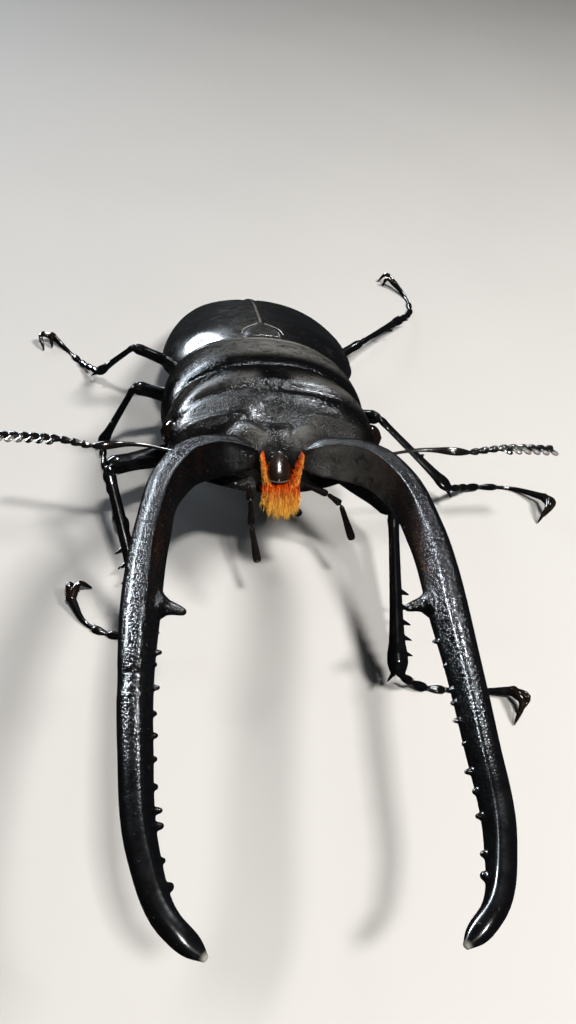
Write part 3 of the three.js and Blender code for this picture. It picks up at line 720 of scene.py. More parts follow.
def proud_of(path, place):
    """How far a place stands out of the horn's own surface."""
    away = np.linalg.norm(path.points - np.array(place), axis=1)
    nearest = int(away.argmin())
    return away[nearest] - jaw_wide(path.lengths[nearest] / path.length)


for letter, side in SIDES:
    path = jaw_path(side)
    tip = path.at(1)
    scar = path.at(NICK) + UP * jaw_deep(NICK) * 0.9 + Vector((jaw_wide(NICK) * 0.7, 0, 0))
    random.seed(7 + side)
    bits = [jaw_horn_shape("horn", side), *teeth_of(path, side)]
    if side < 0:
        bits.append(knob_on(path))
    jaw = one_skin(f"jaw_{letter}", bits, voxel=0.12, passes=3)
    if side < 0:
        cut(jaw, groove_at(scar))

    def wear_and_glint(co, normal):
        ends = 0.9 * bump((co - tip).length / 0.7) + (side < 0) * bump((co - scar).length / 0.45)
        # tips and scar: pale worn horn; what stands out of the horn past y -30, the points of the teeth: a
        # painted highlight
        return ends + 0.8 * (co.y < -30) * smooth(proud_of(path, co), 0.2, 0.5)

    done(
        jaw, TRUNK, jaw_horn, "jaw", f"mandible_{letter}",
        grain=lambda co, n: smooth(co.y, -47, -20) * (0.25 + 0.75 * smooth(n.z, -0.1, 0.35)),
        dust=lambda co, n: 0.5 * smooth(co.x, 2, 6) * smooth(co.y, -9, -3) * smooth(-n.z, -0.35, 0.1),
        pale=wear_and_glint,
    )

# %% [markdown]
# The head is a wide barrel with brow humps over the jaws. The sockets of the jaws and the eyes are cut by
# slightly larger copies of what sits in them, and a remesh softens the rims of the cuts.

# %% Head and eyes
JAW_GAP = 0.22
EYE_GAP = 0.15


def eye_shape(name, side, grow=0.0):
    bpy.ops.mesh.primitive_uv_sphere_add(segments=40, ring_count=24, radius=1)
    eye = bpy.context.object
    eye.name = name

    def move(co):
        # the canthus, a narrow ridge of shell that crosses the eye
        ridge = 1 + 0.07 * bump((co.z - 0.15) / 0.09) * (1 - grow)
        return Vector((
            side * (EYE_PLACE.x - 0.2 + (1.3 + grow) * co.x * ridge),
            EYE_PLACE.y - 0.5 + (1.5 + grow) * co.y * ridge,
            EYE_PLACE.z - 0.4 + (1.6 + grow) * co.z,
        ))

    sculpt(eye, move)
    if side < 0:
        eye.data.flip_normals()
    return eye


def brow_patch(co):
    """1 on the coarse, rubbed tops of the two brows."""
    out, along = abs(co.x) - 2.7, co.y - 2.1
    return bump((0.83 * along - 0.55 * out) / 1.1, (0.55 * along + 0.83 * out) / 1.9)


def sparkle_band(co):
    """1 on the coarse band that runs over the head behind the brows, stronger on the left."""
    band = bump((co.y - 5 + 0.12 * co.x) / 1.5) * smooth(co.x, -5, 1) * smooth(-co.x, -11, -8)
    side_band = bump((co.y - 8 + 0.03 * co.x**2) / 1.8, (co.x + 6) / 5)
    return min(1, band + 0.7 * side_band)


def head_dust_and_sheen(co, normal):
    """A dusty line along the head's rear, parted in the middle, and grey on the coarse patches, partly dust
    and partly a painted sheen where they catch the light.
    """
    rear = 0.55 * bump((co.y - 11.2 + 0.015 * co.x**2) / 1.1) * smooth(abs(co.x - 0.4), 1.2, 3.2) * normal.z
    # the brows and the coarse band get grey that is partly dust and partly a painted sheen
    return rear + 0.75 * brow_patch(co) + 0.2 * sparkle_band(co)


clypeus_form = {
    "from": -0.8, "to": 4, "half": profile((-0.8, 1.6), (-0.2, 2.3), (1, 2.7), (4, 3)),
    "top": profile((-0.8, 8.2), (0, 8.9), (2, 10.1), (4, 10.4)), "bottom": level(6), "edge": level(6.6),
    "fullness": 3,
}
bits = [
    barrel("head", head_form, sides=130, rings=80),
    barrel("neck", neck_form, sides=60, rings=8),
    barrel("clypeus", clypeus_form, sides=64, rings=30),
]
head = one_skin("head_shell", bits, voxel=0.22, passes=4)
for letter, side in SIDES:
    cut(head, jaw_horn_shape("socket", side, grow=JAW_GAP))
    cut(head, eye_shape("socket", side, grow=EYE_GAP))
head = one_skin("head_shell", [head], voxel=0.16, passes=4)
done(
    head, TRUNK, grainy_shell, "grainy_shell", "head",
    grain=lambda co, n: 0.22 + 0.78 * min(1, brow_patch(co) + sparkle_band(co)),
    dust=head_dust_and_sheen,
)
for letter, side in SIDES:
    done(eye_shape(f"eye_ball_{letter}", side), TRUNK, eye_glass, "eye", f"eye_{letter}")

# %% [markdown]
# The collar, or pronotum, is a barrel with a raised rim along its front and rear edges. The rims are
# modelled by lifting the rings nearest the ends. The front end is hollowed by a copy of the head that is
# a little larger, so that the head's rear sits inside it. The collar is set slightly to the beetle's
# right, because a real animal never stands quite straight.

# %% Collar
COLLAR_SHIFT = -0.6
HEAD_ROOM = 0.25


def rim(place, edge, width, height):
    """A rounded rim of this height that runs along an edge."""
    return height * bump((place - edge) / width)


def pronotum_relief(x, y):
    """The rims at both ends, and the shallow grooves inside them."""
    front_edge = 14.4 - 4.2 * min(abs(x) / 12, 1) ** 2
    rear_edge = 26.3 - 2.4 * min(abs(x) / 12, 1) ** 2
    rims = rim(y, front_edge + 0.35, 0.3, 0.28) + rim(y, rear_edge - 0.35, 0.3, 0.28)
    groove = rim(y, front_edge + 1.0, 0.35, 0.12) + rim(y, rear_edge - 1.0, 0.35, 0.15)
    return rims - groove


pronotum_form = {
    "from": 14.4, "to": 26.3,
    "half": profile((14.4, 12), (17, 12.6), (20, 12.6), (23.5, 12.1), (26.3, 11.2)),
    "top": profile((14.4, 12.3), (17, 12.9), (21, 13), (24, 12.6), (26.3, 11.8)),
    "bottom": profile((14.4, 1.6), (18, 0.6), (26.3, 1)),
    "edge": level(MID_HEIGHT), "sweep": (-4.2, -2.4), "relief": pronotum_relief,
}


def collar_dust(co, normal):
    """Streaks over the middle of the back, and a little dust low on the sides."""
    back = 0.95 * bump((co.x - 1.5) / 8.5) * smooth(co.y + 0.02 * co.x**2, 17, 19.5)
    return back * smooth(normal.z, 0.1, 0.6) + 0.3 * smooth(-normal.z, -0.35, 0)


collar = barrel("collar", pronotum_form, sides=130, rings=70)
cut(collar, barrel("room", head_form, sides=80, rings=50, inset=-HEAD_ROOM))
collar = one_skin("collar", [collar], voxel=0.17, passes=3)
collar.data.transform(Matrix.Translation((COLLAR_SHIFT, 0, 0)))
done(collar, TRUNK, grainy_shell, "grainy_shell", "pronotum", grain=lambda co, n: 0.25, dust=collar_dust)

# %% [markdown]
# The wing cases are two curved shells that meet in a straight seam, with a rolled rim along the outer
# edge. Each is half of a barrel: a grid sheet is curved into place and Solidify gives it its thickness.

# %% Wing cases
# the outer edge ends about 1.1 below the widest level, which is a part of this reach
EDGE_REACH = 1.3 / 0.34
TURN_UNDER = 0.32
SEAM_GAP = 0.02
WALL = 0.7
SHARP = math.radians(50)
hind_form = {
    "from": 26.7, "to": 63.4,
    "half": profile((26.7, 11.6), (30, 13.1), (36, 13.5), (44, 12.5), (51, 10.8), (57, 8.6), (61, 6.1),
                    (63.4, 2.8)),
    "top": profile((26.7, 12), (31, 12.3), (38, 11.6), (46, 10.4), (53, 8.7), (59, 6.7), (63.4, 5)),
    "bottom": profile((26.7, 1.4), (32, 0.3), (40, 0.2), (50, 0.9), (58, 2.1), (63.4, 3.2)),
    "edge": profile((26.7, 6.2), (40, 6), (55, 5.2), (63.4, 4.5)), "sweep": (-1.4, 0), "fullness": 1.9,
}


def wing_case(name, side):
    """One wing case. The sheet's x runs from the seam round to the outer edge, its y from front to tail."""
    bpy.ops.mesh.primitive_grid_add(x_subdivisions=44, y_subdivisions=90, size=2)
    sheet = bpy.context.object
    sheet.name = name
    form = hind_form

    def move(co):
        share = (1 - math.cos(math.pi * (co.y + 1) / 2)) / 2
        place = form["from"] + (form["to"] - form["from"]) * share
        turn = (co.x + 1) / 2 * (math.pi / 2 + TURN_UNDER)
        across, above = squared(math.sin(turn), form["fullness"]), squared(math.cos(turn), form["fullness"])
        edge = form["edge"](place)
        reach = form["top"](place) - edge if above > 0 else EDGE_REACH
        x = form["half"](place) * across
        roll = 0.22 * bump((turn - math.pi / 2 - 0.05) / 0.07)
        seam = 0.16 * bump((x - 0.15) / 0.35) - 0.12 * bump((x - 1.0) / 0.4)
        shoulder = 0.35 * bump((x - 9.5) / 2.2, (place - 30.5) / 2.6)
        sweep = form["sweep"][0] * across**2 * (1 - share)
        height = edge + reach * above + (seam + shoulder) * max(above, 0)
        return Vector((side * (SEAM_GAP + (x + roll) * (1 - SEAM_GAP / 14)), place + sweep, height))

    sculpt(sheet, move)
    select(sheet)
    edit_all()
    bpy.ops.mesh.normals_make_consistent(inside=False)
    bpy.ops.object.mode_set(mode="OBJECT")
    top = max(sheet.data.polygons, key=lambda face: face.center.z)
    if top.normal.z < 0:
        sheet.data.flip_normals()
    finish_with(sheet, "SOLIDIFY", thickness=WALL, offset=-1, use_even_offset=False)
    return finish_with(sheet, "BEVEL", width=0.12, segments=2, limit_method="ANGLE", angle_limit=SHARP)


for letter, side in SIDES:
    done(
        wing_case(f"wing_case_{letter}", side), TRUNK, wing_shell, "wing_case", f"elytron_{letter}",
        dust=lambda co, n: 0.3 * bump((co.x + 2.5) / 4.5),
        pale=lambda co, n: 0.95 * smooth(-abs(co.x), -0.4, -0.1) * smooth(n.z, -0.2, 0.3),
    )

# %% [markdown]
# Between the wing cases, at their front, lies the scutellum, a small shield with a rounded point. It is a
# flat barrel that rides just above the wing cases, and a pale welt, a thin tube laid along its outline on
# each side, shows where the shell is worn.

# %% Scutellum
SHIELD_RISE = 0.35
shield_form = {
    "from": 26.4, "to": 30.7, "half": profile((26.4, 2.7), (28.7, 2.3), (30.7, 0.4)),
    "top": lambda y: hind_form["top"](y) + SHIELD_RISE, "bottom": lambda y: hind_form["top"](y) - 0.9,
    "edge": lambda y: hind_form["top"](y) - 0.3,
}
shield = barrel("scutellum_shield", shield_form, sides=32, rings=20)
shield = one_skin("scutellum_shield", [shield], voxel=0.1, passes=2)
done(shield, TRUNK, wing_shell, "grainy_shell", "scutellum", dust=lambda co, n: 0.3)
for letter, side in SIDES:
    places = np.linspace(27.3, 30.75, 8)
    outline = [(side * (shield_form["half"](y) + 0.12), y, hind_form["top"](y) + 0.16) for y in places]
    rows = [(u, 0.1, 0.08) for u in np.linspace(0, 1, 30)]
    welt = lay(tube(f"welt_{letter}", rows, sides=10), Path(outline))
    done(welt, TRUNK, wing_shell, "wing_case", pale=lambda co, n: 0.8)

# %% [markdown]
# Under the wing cases lies the belly: the rear breast, which carries four of the legs, and the rings of
# the hind body. Both are the same barrel as the wing cases, a little smaller, trimmed to their own
# lengths. The joints between the rings are shallow grooves pressed into the underside.

# %% Belly
UNDER_WINGS = 0.9
BELLY_INSET = 0.35


def belly_part(name, front, rear, seams):
    """The belly between two places, with a groove round its underside at each seam."""
    form = dict(hind_form)
    form["top"] = lambda y: hind_form["top"](y) - UNDER_WINGS
    piece = barrel(name, form, sides=44, rings=60, inset=BELLY_INSET)

    def move(co):
        if co.z < 6:
            groove = sum(0.28 * bump((co.y - seam) / 0.3) for seam in seams)
            co = co + Vector((0, 0, groove))
        return co

    sculpt(piece, move)
    trim(piece, ((0, front, 0), (0, -1, 0)), ((0, rear, 0), (0, 1, 0)))
    return piece


waist_form = {
    "from": 24, "to": 30, "half": level(9.5), "top": level(10.4), "bottom": level(2),
    "edge": level(MID_HEIGHT),
}
chest = [belly_part("chest", 26.9, 43.5, (31.5, 38.5)), barrel("waist", waist_form, sides=24, rings=4)]
done(one_skin("chest", chest, voxel=0.22, passes=2), TRUNK, belly_shell, "belly", "metathorax")
tail = belly_part("tail", 43.8, 63, (47.5, 51, 54.5, 58))
done(one_skin("tail", [tail], voxel=0.2, passes=2), TRUNK, belly_shell, "belly", "abdomen")

# %% [markdown]
# ## Legs
#
# Each leg is a rounded coxa in its pit, a strong flattened femur, a slim tibia that widens to its end and
# bears spines and spurs, a foot of five joints, and two hooked claws. The knee lies where the two
# long pieces meet, so it is worked out from their lengths, like the knee of a puppet.

# %% Where the joints of the legs lie
LEG_PAIRS = {
    "fore": {"coxa": (4.4, 17, 1.2), "femur": 17, "tibia": 19.6, "thick": 1.35, "shin": 0.85, "spines": 5},
    "mid": {"coxa": (4.9, 29, 1), "femur": 15.1, "tibia": 14.2, "thick": 1.2, "shin": 0.68, "spines": 1},
    "hind": {"coxa": (4.7, 38.5, 1), "femur": 16.3, "tibia": 15, "thick": 1.1, "shin": 0.62, "spines": 1},
}
TOE_RADIUS = 0.42
TOE_SINK = 0.06
CLAW_TIP_HEIGHT = 0.2
# for each leg: its ankle, the way its knee points, two places of its foot on the floor, where its claws
# start, and where the longer claw ends
STANCE = {
    "fore_l": ((13.8, -15.4, 2.9), (4.6, 0.3, 4.5), ((17.6, -15.6), (22.9, -16.1)),
               (27.5, -16.8, 1.3), (27.3, -20.5)),
    "fore_r": ((-14.2, -9, 3), (-9.5, 1.3, 6.7), ((-17.4, -8.1), (-21.6, -6.1)),
               (-23.4, -3.2, 1.3), (-21.6, -0.6)),
    "mid_l": ((25.9, 13.2, 4.4), (-1.7, -2.6, 9.5), ((32.7, 17.8), (37.5, 17.6)),
              (41.2, 14.6, 1.6), (39.9, 10.6)),
    "mid_r": ((-22.1, 24.8, 1.2), (-1.5, -4.2, 9), ((-21, 18.6), (-19.8, 14.1)),
              (-18.9, 9.9, 1.3), (-17, 7.4)),
    "hind_l": ((28.1, 59.4, 2.2), (0.4, -0.8, 1), ((31.3, 65.2), (31.3, 70.6)),
               (29.6, 73.6, 1.3), (26.6, 75.6)),
    "hind_r": ((-23.7, 39.8, 2.6), (-1.8, -7.6, 10.5), ((-27.4, 45.6), (-30.3, 49.4)),
               (-32.2, 51, 1.3), (-32.9, 48.2)),
}
TO_FLOOR = FLOOR.inverted() @ TRUNK


class Leg:
    """The joints of one leg in the floor frame."""

    def __init__(self, name):
        ankle, bend, toes, claw_root, claw_tip = STANCE[name]
        pair, letter = name.split("_")
        self.name, self.side, self.sizes = name, dict(SIDES)[letter], LEG_PAIRS[pair]
        x, y, z = self.sizes["coxa"]
        self.hip = TO_FLOOR @ Vector(((x + 1.5) * self.side, y, z - 0.7))
        self.ankle = Vector(ankle)
        femur, tibia = self.sizes["femur"], self.sizes["tibia"]
        line = self.ankle - self.hip
        reach = min(line.length, femur + tibia - 0.1)
        line.normalize()
        along = (femur**2 - tibia**2 + reach**2) / (2 * reach)
        bend = Vector(bend)
        bend = (bend - line * line.dot(bend)).normalized()
        self.knee = self.hip + line * along + bend * math.sqrt(femur**2 - along**2)
        on_floor = [(x, y, TOE_RADIUS - TOE_SINK) for x, y in toes]
        self.foot = Path([self.ankle, *on_floor, claw_root])
        self.claw_root = Vector(claw_root)
        self.claw_tip = Vector((*claw_tip, CLAW_TIP_HEIGHT))
        self.plane = (self.knee - self.hip).cross(self.ankle - self.knee).normalized()


legs = [Leg(name) for name in STANCE]
print("knees at", [[round(x, 1) for x in leg.knee] for leg in legs], "mm")

# %% [markdown]
# A peg stands for every spine and spur. It is a short tube that tapers to a blunt point and starts inside
# the limb, so that the remesh grows it out of the shell.

# %% Femora and tibiae
def peg(root, tip, radius):
    rows = [(u, radius * w, radius * w) for u, w in ((0, 1), (0.5, 0.72), (0.85, 0.36), (1, 0.12))]
    return lay(tube("peg", rows, sides=10), Path((root, tip)))


def limb(name, start, end, radius, flat, swell, up):
    """A long joint from start to end. swell gives its thickness along the way, flat how narrow it is."""
    rows = [(share, radius * swell(share), radius * flat * swell(share)) for share in eased(18)]
    return lay(tube(name, rows, sides=20), Path((start, start.lerp(end, 0.5), end)), up)


def spines_of(leg):
    """The spines along the outer side of a shank, and the two pairs of spurs round its end."""
    ahead = (leg.ankle - leg.knee).normalized()
    outer = ahead.cross(UP).normalized()
    outer *= math.copysign(1, outer.x * leg.side)
    count, shin = leg.sizes["spines"], leg.sizes["shin"]
    pegs = []
    for i in range(count):
        share = 0.5 + 0.36 * i / (count - 1) if count > 1 else 0.56
        root = leg.knee.lerp(leg.ankle, share)
        pegs.append(peg(root, root + outer * (shin + 0.5 + 0.5 * share) + ahead * 0.6, 0.42))
    for way in (1, -1):
        root = leg.ankle - ahead * 0.9
        pegs.append(peg(root, leg.ankle + ahead * 0.9 + outer * way * (shin + 0.45), 0.36))
        pegs.append(peg(root, leg.ankle + ahead * 0.5 + outer * way * (shin * 0.7) + UP * 0.4, 0.3))
    return pegs


femur_swell = profile((0, 0.6), (0.06, 0.85), (0.2, 1), (0.6, 1), (0.85, 0.84), (0.95, 0.86), (1, 0.55))
shin_swell = profile((0, 0.5), (0.04, 0.85), (0.12, 0.78), (0.3, 0.8), (0.8, 1.1), (0.95, 1.35), (1, 0.9))

for leg in legs:
    thigh = limb("thigh", leg.hip, leg.knee, leg.sizes["thick"], 0.75, femur_swell, leg.plane)
    thigh = one_skin(f"thigh_{leg.name}", [thigh], voxel=0.13, passes=2)
    done(thigh, FLOOR, leg_shell, "leg", f"femur_{leg.name}")
    shank = limb("shank", leg.knee, leg.ankle, leg.sizes["shin"], 0.8, shin_swell, UP)
    shank = one_skin(f"shin_{leg.name}", [shank, *spines_of(leg)], voxel=0.1, passes=2)
    done(shank, FLOOR, leg_shell, "leg", f"tibia_{leg.name}")

# %% [markdown]
# The coxa is a smooth egg, half sunk into the belly. The foot has four short joints, each thinner where
# it enters the one before it, and a long last joint that carries the two claws. What would sink into the
# floor is trimmed off, so the feet stand flat.

# %% Coxae, feet and claws
COXA_RADII = (2.9, 1.8, 1.7)
FOOT_SHARES = (0, 0.155, 0.31, 0.465, 0.62, 1)
OVERLAP = 0.02


def egg(name, middle, radii):
    """A ball stretched to three radii."""
    bpy.ops.mesh.primitive_uv_sphere_add(segments=28, ring_count=18, radius=1)
    piece = bpy.context.object
    piece.name = name
    wide, long, high = radii
    return sculpt(piece, lambda co: Vector(middle) + Vector((co.x * wide, co.y * long, co.z * high)))


def toe(path, start, end, last):
    """One joint of the foot, between two shares of the foot's path."""
    rows = []
    for i in range(11):
        u = i / 10
        if last:
            swell = 0.6 + 0.75 * u**1.7
        else:
            swell = 0.5 + 0.75 * smooth(u, 0, 0.7) - 0.4 * smooth(u, 0.85, 1)
        rows.append((u, TOE_RADIUS * swell, TOE_RADIUS * swell))
    points = [path.at(start + (end - start) * i / 6) for i in range(7)]
    return lay(tube("toe", rows, sides=14), Path(points))


def hooks(leg):
    """Two hooked claws on one round root, the second one shorter."""
    ahead = leg.foot.ahead(1)
    out = leg.claw_tip - leg.claw_root
    aside = out.cross(UP).normalized()
    bits = [egg("claw_root", leg.claw_root, (0.62, 0.62, 0.55))]
    for way, reach in ((1, 1), (-1, 0.6)):
        middle = leg.claw_root + ahead * reach + out * 0.42 * reach + aside * way * 0.6
        middle.z = leg.claw_root.z + 0.6
        tip = leg.claw_root + out * reach + aside * way * 0.45
        tip.z = CLAW_TIP_HEIGHT
        path = Path((leg.claw_root - ahead * 0.2, middle, tip))
        shares = np.linspace(0, 1, 14)
        rows = [(u, 0.46 * (1 - u) ** 0.6 + 0.05, 0.52 * (1 - u) ** 0.6 + 0.05) for u in shares]
        bits.append(lay(tube("hook", rows, sides=12), path))
    return bits


for leg in legs:
    x, y, z = leg.sizes["coxa"]
    hip_ball = egg(f"hip_{leg.name}", (x * leg.side, y, z), COXA_RADII)
    done(hip_ball, TRUNK, leg_shell, "leg", f"coxa_{leg.name}")
    shares = zip(FOOT_SHARES, FOOT_SHARES[1:])
    joints = [toe(leg.foot, max(start - OVERLAP, 0), end, end == 1) for start, end in shares]
    foot = one_skin(f"foot_{leg.name}", joints, voxel=0.075, passes=1)
    trim(foot, ((0, 0, 0), (0, 0, -1)))
    done(foot, FLOOR, leg_shell, "leg", f"tarsus_{leg.name}")
    claws = one_skin(f"hooks_{leg.name}", hooks(leg), voxel=0.06, passes=1)
    done(claws, FLOOR, claw_horn, "claw", f"claws_{leg.name}")

# %% [markdown]
# ## Feelers and mouth
#
# A feeler starts with a long slim shaft, the scape, and bends at an elbow into a string of small beads.
# The last six beads each carry a flat leaf on their front side, and together they make the toothed club.

# %% Antennae
ANTENNAE = {
    "l": ((11.2, 3, 6.6), (22.4, 2.2, 8), (33.2, 3.6, 8)),
    "r": ((-10.4, 3, 6.6), (-20.2, 1.8, 8), (-30.4, 4.4, 7.8)),
}
STALK_BEADS = 3
LEAVES = 6
LEAF = 0.2
scape_swell = profile((0, 0.3), (0.04, 0.36), (0.1, 0.28), (0.6, 0.27), (0.93, 0.42), (1, 0.25))


def leaf(root, tip):
    """A flat rounded leaf from its root to its tip."""
    rows = [(0, 0.2, LEAF), (0.35, 0.34, LEAF), (0.7, 0.46, LEAF), (0.92, 0.36, LEAF * 0.8),
            (1, 0.12, LEAF / 2)]
    return lay(tube("leaf", rows, sides=12), Path((root, tip)))


def bead(start, end):
    radii = ((0, 0.16), (0.2, 0.28), (0.6, 0.42), (0.88, 0.42), (1, 0.22))
    rows = [(u, radius, radius) for u, radius in radii]
    return lay(tube("bead", rows, sides=14), Path((start, end)))


for letter, side in SIDES:
    root, elbow, tip = (Vector(point) for point in ANTENNAE[letter])
    scape_path = Path((root, root.lerp(elbow, 0.5) + Vector((0, 0.3, 0.5)), elbow))
    rows = [(u, scape_swell(u), scape_swell(u)) for u in np.linspace(0, 1, 26)]
    scape = lay(tube(f"scape_{letter}", rows, sides=18), scape_path)
    done(scape, TRUNK, feeler_shell, "feeler", f"antenna_scape_{letter}")
    stalk = Path((elbow, elbow.lerp(tip, 0.45) + Vector((0, 0, 0.4)), tip))
    count = STALK_BEADS + LEAVES
    bits = []
    for i in range(count):
        start, end = stalk.at(max(i / count - 0.02, 0)), stalk.at((i + 1) / count)
        bits.append(bead(start, end))
        if i >= STALK_BEADS:
            far = end + Vector((0, -1.3, -0.15)) + (end - start) * 0.1
            bits.append(leaf(end.lerp(start, 0.35), far))
    club = one_skin(f"club_{letter}", bits, voxel=0.07, passes=1)
    done(
        club, TRUNK, feeler_shell, "feeler", f"antenna_club_{letter}",
        pale=lambda co, n: 0.72 * smooth(abs(co.x), 26, 28.5) * smooth(tip.y + 0.1 - co.y, 0.3, 1.2),
    )

# %% [markdown]
# Below the jaws hang two pairs of palps, short jointed feelers, and the orange brush with which a stag
# beetle laps up sap. Each palp joint widens towards its end and starts thin inside the one before it. The
# lip is a small tongue of shell between the jaws, a barrel that narrows to its front, where its lower
# edge is pale.

# %% Palps and lip
PALPS = {
    "maxillary_palp_l": ((3, -0.2, 4.8), (6, 0.2, 3.3), (7.6, -0.1, 2.2), (9.2, -1.7, -1.8)),
    "maxillary_palp_r": ((-3.2, -0.4, 4.8), (-2.9, -0.9, 3), (-2.7, -2, 0.4), (-1.9, -4, -3.4)),
    "labial_palp_l": ((1.2, -0.3, 3.2), (2, -1.8, 2.9), (2.4, -3.1, 2.6)),
    "labial_palp_r": ((-1.2, -0.3, 3.2), (-1.4, -1.2, 2.8), (-1.3, -2.2, 2.2)),
}
PALP_SWELL = (
    (-0.02, 0.5), (0.1, 0.62), (0.4, 0.72), (0.7, 0.92), (0.88, 1), (0.96, 0.85), (1.01, 0.55), (1.03, 0.2),
)
for name, points in PALPS.items():
    bits = []
    for start, end in zip(points, points[1:]):
        wide = 0.48 if end == points[-1] else 0.42
        rows = [(u, wide * w, wide * w) for u, w in PALP_SWELL]
        bits.append(lay(tube("joint", rows, sides=16), Path((start, end))))
    palp = one_skin(name.replace("_palp", "_feeler"), bits, voxel=0.07, passes=1)
    done(palp, TRUNK, feeler_shell, "feeler", name)

lip_form = {
    "from": -2.3, "to": -0.1,
    "half": profile((-2.3, 0.2), (-2.1, 0.75), (-1.6, 1.2), (-1, 1.5), (-0.1, 1.75)),
    "top": profile((-2.3, 6.5), (-2.1, 6.95), (-1.5, 7.75), (-0.6, 8.6), (-0.1, 8.9)),
    "bottom": profile((-2.3, 6.1), (-1.5, 5.8), (-0.1, 5.8)), "edge": level(6.2), "fullness": 2,
}
lip = one_skin("lip", [barrel("lip", lip_form, sides=28, rings=20)], voxel=0.09, passes=2)
done(
    lip, TRUNK, lip_shell, "lip", "labrum",
    pale=lambda co, n: 0.7 * smooth(-n.z, -0.3, 0.05) * smooth(-co.y, 1.3, 1.9),
)

# %% [markdown]
# The brush is hair, and hair is modelled as thin solid tufts. Each tuft is a small tapered sliver that
# follows the brush forward and down and spreads a little at its end. All of them are one mesh, and each
# gets a tiny patch of its own in the map named OFBake, at the place of its root on the brush's unwrapped
# skin.

# %% Tufts
PATCH = 0.003


def tufts(name, locks, radius):
    """One mesh of many thin three-sided locks, each (list of points, (u, v) of its root)."""
    corners, faces, along, coords = [], [], [], []
    for points, (u, v) in locks:
        start, last = len(corners), len(points) - 1
        for i, point in enumerate(points[:-1]):
            ahead = (points[i + 1] - point).normalized()
            aside = ahead.cross(Vector((0.3, 0.2, 1))).normalized()
            over = aside.cross(ahead)
            reach = radius * (1 - 0.7 * i / last)
            for k in range(3):
                turn = 2 * math.pi * k / 3
                corners.append(point + aside * reach * math.cos(turn) + over * reach * math.sin(turn))
                along.append(i / last)
                coords.append((u + PATCH * k / 3, v + PATCH * i / last))
            if i:
                for k in range(3):
                    a, b = start + 3 * i + k, start + 3 * i + (k + 1) % 3
                    faces.append((a - 3, b - 3, b, a))
        corners.append(points[-1])
        along.append(1)
        coords.append((u, v + PATCH))
        tip = len(corners) - 1
        for k in range(3):
            faces.append((tip - 3 + k, tip - 3 + (k + 1) % 3, tip))
        faces.append((start + 2, start + 1, start))
    mesh = bpy.data.meshes.new(name)
    mesh.from_pydata(corners, [], faces)
    piece = bpy.data.objects.new(name, mesh)
    bpy.context.collection.objects.link(piece)
    paint = mesh.attributes.new("along", "FLOAT", "POINT")
    paint.data.foreach_set("value", along)
    bake = mesh.uv_layers.new(name="OFBake")
    for loop in mesh.loops:
        bake.data[loop.index].uv = coords[loop.vertex_index]
    return piece


def lock(root, end, bulge, wave=0.12, steps=7):
    """A bent, slightly wavy line from root to end, bulging out by bulge half way."""
    phase = random.uniform(0, 2 * math.pi)
    aside = (end - root).cross(UP).normalized()
    points = []
    for i in range(steps):
        u = i / (steps - 1)
        ripple = aside * wave * math.sin(phase + 9 * u) * u
        points.append(root.lerp(end, u) + bulge * 4 * u * (1 - u) + ripple)
    return points


print("each lock's patch is", PATCH, "of the map across")

# %% [markdown]
# The brush has a pair of side tufts that frame the lip like a V, and a broad double fan below it. The fan
# hangs from a small tongue, is parted in the middle, and its hairs grow shorter towards its sides, which
# rounds it.

# %% Mouth brush
MOUTH_X = 0.35
SIDE_CLUMPS, SIDE_HAIRS = 40, 20
FAN_CLUMPS, FAN_HAIRS = 230, 11
HAIR_RADIUS = 0.055


def unwrapped(point):
    """A root's place on the mouth unrolled like a drum: round the drum, and up it."""
    turn = math.atan2(point.x - MOUTH_X, 3 - point.y) / math.pi
    return 0.5 + 0.9 * turn, 0.05 + 0.09 * point.z


def scatter(point, spread):
    """A place near a point, by chance."""
    return point + Vector([random.gauss(0, spread) for _ in range(3)])


def clump(root, tip, count, length, spread, bulge):
    """A pointed bunch of hairs that start near one root and close towards one tip."""
    for _ in range(count):
        start = scatter(root, spread)
        end = scatter(start.lerp(tip, random.uniform(*length)), spread * 0.6)
        locks.append((lock(start, end, bulge), unwrapped(start)))


random.seed(21)
locks = []
for side in (1, -1):
    for i in range(SIDE_CLUMPS):
        u = i / (SIDE_CLUMPS - 1)
        root = Vector((MOUTH_X + side * (2.15 - 0.85 * u), -0.1 - 1.1 * u, 8.7 - 3.2 * u))
        aside = side * random.uniform(-1.15, 0.2) * u
        sag = Vector((aside, random.uniform(-1.3, -0.6), random.uniform(-2.1, -0.9)))
        bulge = Vector((side * 0.2, -0.25, 0))
        clump(root, root + sag * (0.5 + 0.5 * u), SIDE_HAIRS, (0.4, 1.1), 0.06 + 0.24 * u, bulge)
for _ in range(FAN_CLUMPS):
    across = random.uniform(-1, 1)
    lift = random.random()
    root = Vector((MOUTH_X + across * 1.9, -0.9 - 1.0 * lift, 4.9 + 0.7 * lift - 0.3 * across**2))
    root = scatter(root, 0.08)
    fan = across * 2.15 + math.copysign(0.12, across) + random.gauss(0, 0.25)
    length = random.uniform(0.3, 1) * (1 - 0.42 * across**2)
    tip = Vector((MOUTH_X + fan * (0.65 + 0.35 * length), -1.6 - 2.1 * length, 4.9 - 3.0 * length))
    clump(root, tip, FAN_HAIRS, (0.6, 1.1), 0.17, Vector((0, -0.45, 0.35)))
brush = tufts("brush_hair", locks, HAIR_RADIUS)
done(brush, TRUNK, brush_hair, "brush", "mouth_brush")
tongue = egg("tongue", (MOUTH_X, -1.0, 4.6), (1.3, 1.1, 0.9))
done(tongue, TRUNK, brush_hair, "brush")

# %% [markdown]
# Beetle feet grip with bristles. Each foot joint carries a few round its far end, pointing ahead and out.

